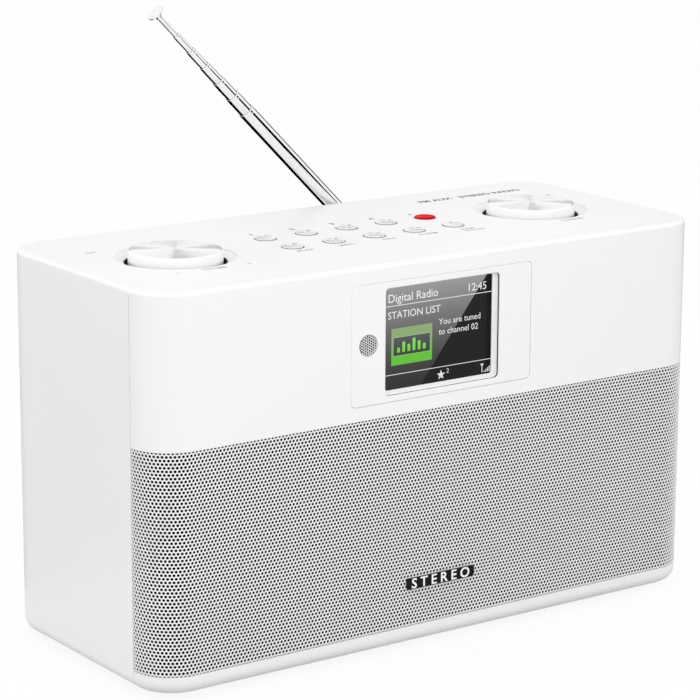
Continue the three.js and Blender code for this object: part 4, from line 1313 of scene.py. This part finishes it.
# Plain marks printed on the top: (text, letter height, x, y)
topMarks = {
    "pale": [
        ("VOLUME", 3.2, -98.2, 33.2), ("TUNING", 3.4, 99.5, 32.8),
        ("MODE", 3.1, -44.2, 43.4), ("MENU", 3.1, -21.4, 43.3), ("INFO", 3.1, 1.4, 43.2),
        ("ALARM", 3.3, 23.2, 43), ("SLEEP", 3.1, 45.4, 42.6), ("SNOOZE", 2.8, 46.6, 38.8),
        ("AUX", 2.6, -125.5, 91.6), ("OK", 2.6, 129, 88),
    ],
    "dark": [
        ("FM AUX", 5.4, 75, 106.2), ("STEREO RADIO", 5.4, 108, 106),
        ("1", 4.6, -44.8, 85.4), ("2", 4.6, -22.6, 85.6), ("3", 4.6, 0, 85.8), ("4", 4.6, 22, 85.4),
    ],
}
topSigns = {
    "minus": (-117.4, -115.2, 34.4, 34.7),
    "plus": ((-81.4, -79.2, 34.3, 34.6), (-80.45, -80.15, 33.35, 35.55)),
    "power": (43.7, 85.8, 1),  # x, y and radius of the dot by the red button
    "lift": 0.005,  # of the ink's middle above the lid
}


def topMarkings():
    for name, ink, weight in (("pale", greyInk, 0.01), ("dark", darkInk, 0.035)):
        parts = [words(*entry, "CENTER", weight) for entry in topMarks[name]]
        if name == "pale":
            parts += [stripe(*bounds) for bounds in (topSigns["minus"], *topSigns["plus"])]
            x, y, radius = topSigns["power"]
            parts.append(mark([(x + radius * math.cos(a), y + radius * math.sin(a))
                               for a in np.linspace(0, 2 * math.pi, 24, False)]))
        piece = joined(name + "_marks", parts)
        piece.data.transform(Matrix.Translation((0, 0, topZ + topSigns["lift"])))
        dress(piece, "top_marks_" + name, "chassis", ink)


topMarkings()
print("marks printed")


# Antenna: chromed tubes, each with its mouth rolled in on the next
antenna = {
    "lean": 45,
    "tubeRadius": 3.85,
    "radiusStep": 0.43,
    "sections": 7,
    "length": 95,
    "firstTop": 108.7,
    "step": 10.7,
    "lastStep": 12.8,
    "tipRadius": 4.2,
    "tipThickness": 3,
    "tipNeck": 1.5,
    "tipEdge": 0.9,
    "crimp": 1.1,  # height of the rolled mouth, under a groove that is drawn as shares of it
    "grooveDepth": 0.1,
    "mouthGap": 0.02,
    "slideGap": 0.15,
    "tongueRadius": 3,
    "tongueHalf": 1.5,
    "earGap": 0.3,
    "earThickness": 2.4,
    "earRadius": 3.4,
    "pinRadius": 1.2,
    "rotorRadius": 9,
    "rotorThickness": 1,
    "shaftRadius": 4.2,
    "standoff": 5,
    "shaftGap": 0.15,
    "bushInside": 4,  # how far the bush and the shaft reach in behind the back wall
    "bushGap": 0.3,
    "bushRim": 1.2,
}
rodFrame = cabinetFrame @ Matrix.Translation(pivot) @ Matrix.Rotation(-math.radians(antenna["lean"]), 4, "Y")


def tubeProfile(radius, bore, low, top):
    mouth = bore + antenna["mouthGap"]
    crimp, waist = antenna["crimp"], radius - antenna["grooveDepth"]
    outside = [(radius, low), (radius, top - 2 * crimp), (waist, top - 1.8 * crimp),
               (waist, top - 1.5 * crimp), (radius, top - 1.3 * crimp), (radius, top - 0.5 * crimp)]
    rolled = [(radius - (radius - mouth) * (1 - math.cos(a)), top - 0.5 * crimp * (1 - math.sin(a)))
              for a in np.linspace(0.2, quarter, 5)]
    return outside, rolled


def antennaTube(number):
    i = number - 1
    radius = antenna["tubeRadius"] - i * antenna["radiusStep"]
    bore = radius - antenna["radiusStep"] + antenna["slideGap"]
    isTip = number == antenna["sections"]
    top = antenna["firstTop"] + i * antenna["step"]
    if isTip:
        top += antenna["lastStep"] - antenna["step"]
    low = top - antenna["length"]
    if isTip:
        high = top + antenna["tipThickness"]
        neck, rim, edge = antenna["tipNeck"], antenna["tipRadius"], antenna["tipEdge"]
        profile = rounded([(0, low, 0), (radius, low, 0.2), (radius, top - 1, 0), (neck, top - 1, 0.2),
                           (neck, top + 0.6, 1.2), (rim, high - edge, 0.2), (rim, high - edge / 3, 0.3),
                           (rim * 0.6, high, 3), (0, high, 0)], 5)
        piece = turned("tip", profile, 48)
    elif number == 1:
        outside, rolled = tubeProfile(radius, bore, low, top)
        profile = [(0, low - 1), (radius - 0.4, low - 1), (radius, low - 0.5), *outside, *rolled,
                   (bore, top), (bore, low), (0, low)]
        piece = turned("tube", profile, 40)
        half = antenna["tongueHalf"]
        outline = rounded([(antenna["tongueRadius"], low - 0.5, 0), (-antenna["tongueRadius"], low - 0.5, 0),
                           (-antenna["tongueRadius"], -antenna["tongueRadius"], 2.9),
                           (antenna["tongueRadius"], -antenna["tongueRadius"], 2.9)], 10, True)
        tongue = prism("tongue", outline, -half, half)
        tongue.data.transform(Matrix.Rotation(quarter, 4, "Z"))
        bevel(tongue, 0.25, 2)
        combine(piece, tongue, "UNION")
        hole = put(bar(antenna["pinRadius"] + antenna["slideGap"], -half - cut, half + cut, 32), along="x")
        combine(piece, hole)
    else:
        outside, rolled = tubeProfile(radius, bore, low, top)
        piece = turned("tube", [*outside, *rolled, (bore, top), (bore, low)], 40)
    body = "antenna_tip" if isTip else f"antenna_tube_{number}"
    dress(piece, f"antenna_rod_{number}", body, chrome,
          [f"antenna_section_{number}"], rodFrame, 40)


def antennaFoot():
    start = antenna["earGap"] - antenna["standoff"]
    discBack = start + antenna["rotorThickness"]
    inner = -antenna["standoff"] - cabinet["backWall"] - antenna["bushInside"]
    shaft, rotor = antenna["shaftRadius"], antenna["rotorRadius"]
    disc = turned("disc", rounded([
        (0, inner, 0), (shaft, inner, 0.3), (shaft, start, 0), (rotor, start, 0.15),
        (rotor, discBack, 0.35), (0, discBack, 0),
    ], 4), 72)
    disc.data.transform(Matrix.Rotation(-quarter, 4, "X"))
    earIn = antenna["tongueHalf"] + antenna["earGap"]
    for side in (-1, 1):
        x0, x1 = sorted((side * earIn, side * (earIn + antenna["earThickness"])))
        radius = antenna["earRadius"]
        outline = rounded([(start, -radius, 0), (radius, -radius, 3.3), (radius, radius, 3.3),
                           (start, radius, 0)], 10, True)
        ear = prism("ear", outline, x0, x1)
        ear.data.transform(Matrix.Rotation(quarter, 4, "Z") @ Matrix.Scale(-1, 4, (0, 1, 0)))
        bevel(faceOut(ear), 0.3, 2)
        combine(disc, ear, "UNION")
    reach = earIn + antenna["earThickness"]
    combine(disc, put(bar(antenna["pinRadius"] + 0.05, -reach - cut, reach + cut, 32), along="x"))
    dress(disc, "antenna_foot", "antenna_swivel_base", chrome, ["antenna_rotor"],
          rodFrame, 35)
    pin = turned("pin", rounded([(0, -reach, 0), (antenna["pinRadius"], -reach, 0.25),
                                 (antenna["pinRadius"], reach, 0.25), (0, reach, 0)], 4), 32)
    dress(put(pin, along="x"), "hinge_pin", "antenna_swivel_base", zincSteel,
          ["antenna_pin"], rodFrame, 35)
    hole = shaft + antenna["shaftGap"]
    bushRadius, flange = back["bushRadius"] - antenna["bushGap"], back["bushFlange"] - antenna["bushGap"]
    innerEnd, rim = backInside - antenna["bushInside"], depth - antenna["bushRim"]
    bush = turned("bush", rounded([
        (hole, innerEnd, 0.3), (bushRadius, innerEnd, 0.3), (bushRadius, rim, 0),
        (flange, rim, 0), (flange, depth, 0.3), (hole, depth, 0.2),
    ], 4, True), 72)
    dress(put(bush, pivot.x, 0, pivot.z, "y"), "antenna_bushing", "chassis", blackAbs,
          ["antenna_bush"])


for number in range(1, antenna["sections"] + 1):
    antennaTube(number)
antennaFoot()
print("antenna made")


# Back and underside
bass = {
    "bore": 16.5,
    "wall": 2,
    "length": 45,
    "flange": 25,
    "flangeThickness": 1.6,
    "chamfer": 0.4,
    "flareWidth": 5,
    "flareDepth": 8,
}


def bassPort():
    bore, flange, chamfer = bass["bore"], bass["flange"], bass["chamfer"]
    outside, inner, flangeLow = bore + bass["wall"], depth - bass["length"], depth - bass["flangeThickness"]
    flare = [(bore + bass["flareWidth"] * (1 - math.cos(a)), depth - bass["flareDepth"] * (1 - math.sin(a)))
             for a in np.linspace(0, quarter, 8)]
    profile = [(bore, inner), (outside, inner), (outside, flangeLow), (flange, flangeLow),
               (flange, depth - chamfer), (flange - chamfer, depth), *reversed(flare)]
    port = put(turned("port", profile, 96), back["portX"], 0, back["portZ"], "y")
    dress(port, "bass_port_tube", "chassis", blackAbs, ["bass_port"])


sockets = {
    "power": {"node": "power_socket", "x": 60, "body": 11, "nose": 3.9, "bore": 2.85, "depth": 9, "pin": 1},
    "aux": {"node": "aux_socket", "x": 38, "body": 8, "nose": 3.2, "bore": 1.85, "depth": 13, "pin": 0},
}
socketFit = {
    "gap": 0.3,
    "coverRound": 0.3,
    "bodyRound": 0.4,
    "wayDepth": 4,  # the cover's holes start this far in
    "wayLength": 6,
    "pinSunk": 1.5,
    # text, size, x and height above the plate's middle
    "labels": [("DC IN", 2.6, -60, 5.6), ("AUX IN", 2.6, -38, 5.6)],
}


def socketPieces():
    z = back["plateZ"]
    cover = plate("cover", back["plateWidth"], back["plateHeight"], back["plateCorner"],
                  depth - back["plateDepth"], depth, back["plateX"], z)
    bevel(cover, socketFit["coverRound"], 3)
    boardBack = backInside - back["bossLength"]
    for name, socket in sockets.items():
        half = socket["body"] / 2
        x = socket["x"]
        way = bar(socket["nose"] + socketFit["gap"], 0, socketFit["wayLength"], 48)
        combine(cover, put(way, x, depth - socketFit["wayDepth"], z, "y"))
        housing = block(x - half, x + half, boardBack, backInside, z - half, z + half)
        bevel(housing, socketFit["bodyRound"], 2)
        nose = turned("nose", rounded([(0, backInside - 1, 0), (socket["nose"], backInside - 1, 0),
                                       (socket["nose"], depth, 0.3), (0, depth, 0)], 4), 48)
        combine(housing, put(nose, x, 0, z, "y"), "UNION")
        combine(housing, put(bar(socket["bore"], depth - socket["depth"], depth + cut, 40), x, 0, z, "y"))
        if socket["pin"]:
            foot, end = depth - socket["depth"] - 1, depth - socketFit["pinSunk"]
            pin = turned("pin", rounded([(0, foot, 0), (socket["pin"], foot, 0), (socket["pin"], end, 0.5),
                                         (0, end, 0)], 5), 24)
            dress(put(pin, x, 0, z, "y"), "power_centre_pin", "chassis", zincSteel)
        dress(housing, name + "_jack", "chassis", blackAbs, [socket["node"]])
    dress(cover, "socket_cover", "chassis", blackAbs, ["socket_plate"])
    labels = joined("labels", [words(text, size, x, z + height)
                               for text, size, x, height in socketFit["labels"]])
    labels.data.transform(Matrix.Rotation(math.pi, 4, "Z") @ Matrix.Rotation(quarter, 4, "X"))
    labels.data.transform(Matrix.Translation((0, depth, 0)))
    dress(labels, "socket_labels", "chassis", whiteInk)


screw = {
    "gap": 0.15,  # under the head
    "shank": 1.5,
    "length": 12,
    "point": 1.5,
    "pointRadius": 0.4,
    "head": 3.2,
    "headHeight": 1.4,
    "cross": (3.4, 0.8),  # length and width of the driver's slots
    "crossFloor": 0.5,
}


def backScrew(number):
    place = middleOf(f"rear_screw_{number}")
    low = depth - back["counterbore"] + screw["gap"]
    tip, top, shank, wide = low - screw["length"], low + screw["headHeight"], screw["shank"], screw["head"]
    head = turned("screw", rounded([
        (0, tip, 0), (screw["pointRadius"], tip, 0), (shank, tip + screw["point"], 0), (shank, low, 0.1),
        (wide, low, 0.2), (wide, top, 0.9), (0, top, 0),
    ], 5), 48)
    long, thin = screw["cross"]
    for across, along in ((long, thin), (thin, long)):
        combine(head, block(-across / 2, across / 2, -along / 2, along / 2,
                            low + screw["crossFloor"], low + cut))
    dress(put(head, place.x, 0, place.z, "y"), f"back_screw_{number}", "chassis", zincSteel,
          [f"rear_screw_{number}"])


def footPad(node):
    place = middleOf(node)
    low = -frontLow.z / mm
    top = feet["recess"] - feet["gap"]
    pad = turned("foot", rounded([
        (0, low, 0), (feet["sole"], low, 0.4), (feet["radius"], low + feet["soleHeight"], 0.4),
        (feet["radius"], top, 0.2), (0, top, 0),
    ], 4), 64)
    dress(put(pad, place.x, place.y), node.replace("foot", "rubber_foot"), "chassis", rubber,
          [node])


bassPort()
socketPieces()
for number in range(1, 5):
    backScrew(number)
for node in footNodes:
    footPad(node)
print("back and underside made")

# CAD nodes that keep their own shape, all inside the cabinet
kept = {
    "display_module": drawnAluminium,
    "control_board": board,
    "main_board": board,
}
for side in ("volume", "tuning"):
    kept[side + "_encoder"] = greyPbt
    kept[side + "_plunger"] = blackAbs
    kept[side + "_shaft"] = drawnAluminium
for side in ("left", "right"):
    kept[side + "_speaker_basket"] = pressedSteel
    kept[side + "_speaker_cone"] = cone
    kept[side + "_speaker_magnet"] = ferrite
for node, material in kept.items():
    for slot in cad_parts[node].material_slots:
        slot.material = material
print("inner pieces finished")

# Studio: pale floor, white surroundings and soft lamps. The flags are dark cards that only
# mirrors see: they draw the black lines in the chrome and the grey sectors on the knobs.
studio = {
    "floorSize": 6,
    "floorSeen": "#f6f6f6",
    "floorBounce": "#b4b4b4",  # what the floor throws back at the radio
    "floorGlow": 0.9,  # share of plain white in what the camera sees of the floor
    "ambient": 0.98,
    "lamps": {
        "key": {"place": (-0.12, -0.62, 0.34), "size": 0.9, "power": 1.6},
        "fill": {"place": (-1.2, 0.55, 0.35), "size": 0.9, "power": 3},
    },
    "flagCentre": (0, 0, 0.2),  # the cards' azimuths, from +y towards +x, and elevations start here
    "flags": {
        "right_stripe": {"azimuth": 130.5, "elevation": -1.1, "distance": 1, "size": (0.54, 0.36), "grey": 0},
        "right_thin": {"azimuth": 68, "elevation": 11, "distance": 1.5, "size": (0.46, 0.34), "grey": 0},
        "right_edge": {"azimuth": 56, "elevation": 3, "distance": 1.5, "size": (0.32, 0.21), "grey": 0},
        "low_left": {"azimuth": 21.5, "elevation": 6, "distance": 2.5, "size": (0.44, 0.4), "grey": 0},
        "low_middle": {"azimuth": 35, "elevation": 6, "distance": 2.5, "size": (0.22, 0.45), "grey": 0},
        "low_right": {"azimuth": 48.2, "elevation": 6, "distance": 2.5, "size": (0.4, 0.45), "grey": 0},
        "high_left": {"azimuth": 31.2, "elevation": 36, "distance": 2.5, "size": (0.2, 0.9), "grey": 0},
        "high_right": {"azimuth": 42.4, "elevation": 36, "distance": 2.5, "size": (0.15, 0.9), "grey": 0},
    },
    "floorCard": {"x": (-1.9, 3.1), "y": (0.1, 3.5), "z": 0.004},  # a black card on the floor behind
}
photo = {  # the camera, fitted to the photograph, in the cabinet's own millimetres
    "place": (-750.31, -985.84, 432.58),
    "yaw": 0.62193,
    "pitch": 0.23981,
    "roll": 0.00585,
    "focal": 2887.18,  # pixels
    "centre": (364.43, 357.43),
    "frame": 700,
    "sensor": 36,
}


def makeFloor():
    half = studio["floorSize"] / 2
    corners = [(-half, -half, 0), (half, -half, 0), (half, half, 0), (-half, half, 0)]
    floor = newPiece("floor", corners, [(0, 1, 2, 3)])
    material, tree, shader = newMaterial("matt_paper", studio["floorSeen"], {
        "Roughness": 0.9, "Specular IOR Level": 0.1,
    })
    path = addNode(tree, "LightPath")
    seen = addNode(tree, "Math", {"operation": "MAXIMUM"},
                   {0: path.outputs["Is Camera Ray"], 1: path.outputs["Is Glossy Ray"]})
    paper = addNode(tree, "Mix", {
        "data_type": "RGBA", 6: linear(studio["floorBounce"]), 7: linear(studio["floorSeen"]),
    }, {0: seen.outputs["Value"]})
    feed(shader, {"Base Color": paper.outputs[2]})
    white = addNode(tree, "Emission", {"Color": (1, 1, 1, 1), "Strength": 1})
    share = addNode(tree, "Math", {"operation": "MULTIPLY", 1: studio["floorGlow"]},
                    {0: seen.outputs["Value"]})
    mix = addNode(tree, "MixShader", {},
                  {0: share.outputs["Value"], 1: shader.outputs["BSDF"], 2: white.outputs[0]})
    tree.links.new(mix.outputs[0], tree.nodes["Material Output"].inputs["Surface"])
    floor.data.materials.append(material)


def makeCard(name, corners, grey):
    material, tree, shader = newMaterial(name + "_card", "#000000", {
        "Specular IOR Level": 0, "Roughness": 1, "Emission Color": (1, 1, 1, 1), "Emission Strength": grey,
    })
    card = newPiece(name, corners, [(0, 1, 2, 3)])
    card.data.materials.append(material)
    card.visible_camera = False
    card.visible_diffuse = False
    card.visible_transmission = False
    card.visible_shadow = False


def makeFlags():
    centre = Vector(studio["flagCentre"])
    for name, flag in studio["flags"].items():
        azimuth, elevation = math.radians(flag["azimuth"]), math.radians(flag["elevation"])
        outward = Vector((math.sin(azimuth) * math.cos(elevation), math.cos(azimuth) * math.cos(elevation),
                          math.sin(elevation)))
        across = Vector((math.cos(azimuth), -math.sin(azimuth), 0)) * flag["size"][0] / 2
        upward = across.cross(outward).normalized() * flag["size"][1] / 2
        middle = centre + outward * flag["distance"]
        makeCard(name, [middle - across - upward, middle + across - upward, middle + across + upward,
                        middle - across + upward], flag["grey"])
    card = studio["floorCard"]
    (x0, x1), (y0, y1), z = card["x"], card["y"], card["z"]
    makeCard("behind_low", [(x0, y0, z), (x1, y0, z), (x1, y1, z), (x0, y1, z)], 0)


def makeWorld():
    world = bpy.data.worlds.new("studio")
    world.use_nodes = True
    bpy.context.scene.world = world
    tree = world.node_tree
    path = addNode(tree, "LightPath")
    seen = addNode(tree, "Math", {"operation": "MAXIMUM"},
                   {0: path.outputs["Is Camera Ray"], 1: path.outputs["Is Glossy Ray"]})
    through = addNode(tree, "Math", {"operation": "MAXIMUM"},
                      {0: seen.outputs["Value"], 1: path.outputs["Is Transmission Ray"]})
    level = addNode(tree, "MapRange", {"To Min": studio["ambient"], "To Max": 1},
                    {"Value": through.outputs["Value"]})
    background = tree.nodes["Background"]
    background.inputs["Color"].default_value = (1, 1, 1, 1)
    tree.links.new(level.outputs["Result"], background.inputs["Strength"])


def makeLamps():
    aim = Vector((0, 0, topZ * mm / 2))
    for name, lamp in studio["lamps"].items():
        light = bpy.data.lights.new(name, "AREA")
        light.shape = "DISK"
        light.size = lamp["size"]
        light.energy = lamp["power"]
        holder = bpy.data.objects.new(name, light)
        holder.location = lamp["place"]
        holder.rotation_euler = (aim - Vector(lamp["place"])).to_track_quat("-Z", "Y").to_euler()
        holder.visible_camera = False
        holder.visible_glossy = False
        bpy.context.scene.collection.objects.link(holder)


def makeCamera():
    yaw, pitch, roll = photo["yaw"], photo["pitch"], photo["roll"]
    right = Vector((math.cos(yaw), -math.sin(yaw), 0))
    ahead = Vector((math.sin(yaw) * math.cos(pitch), math.cos(yaw) * math.cos(pitch), -math.sin(pitch)))
    up = right.cross(ahead)
    across = right * math.cos(roll) + up * math.sin(roll)
    upward = up * math.cos(roll) - right * math.sin(roll)
    turn = Matrix((across, upward, -ahead)).transposed()
    lens = bpy.data.cameras.new("photo_camera")
    lens.sensor_width = photo["sensor"]
    lens.lens = photo["focal"] / photo["frame"] * photo["sensor"]
    lens.shift_x = (photo["frame"] / 2 - photo["centre"][0]) / photo["frame"]
    lens.shift_y = (photo["centre"][1] - photo["frame"] / 2) / photo["frame"]
    lens.clip_end = 20
    camera = bpy.data.objects.new("photo_camera", lens)
    camera.matrix_world = Matrix.Translation(cabinetFrame @ Vector(photo["place"])) @ turn.to_4x4()
    bpy.context.scene.collection.objects.link(camera)
    bpy.context.scene.camera = camera


makeFloor()
makeFlags()
makeWorld()
makeLamps()
makeCamera()
bpy.context.scene.view_settings.view_transform = "Standard"
print("studio ready")
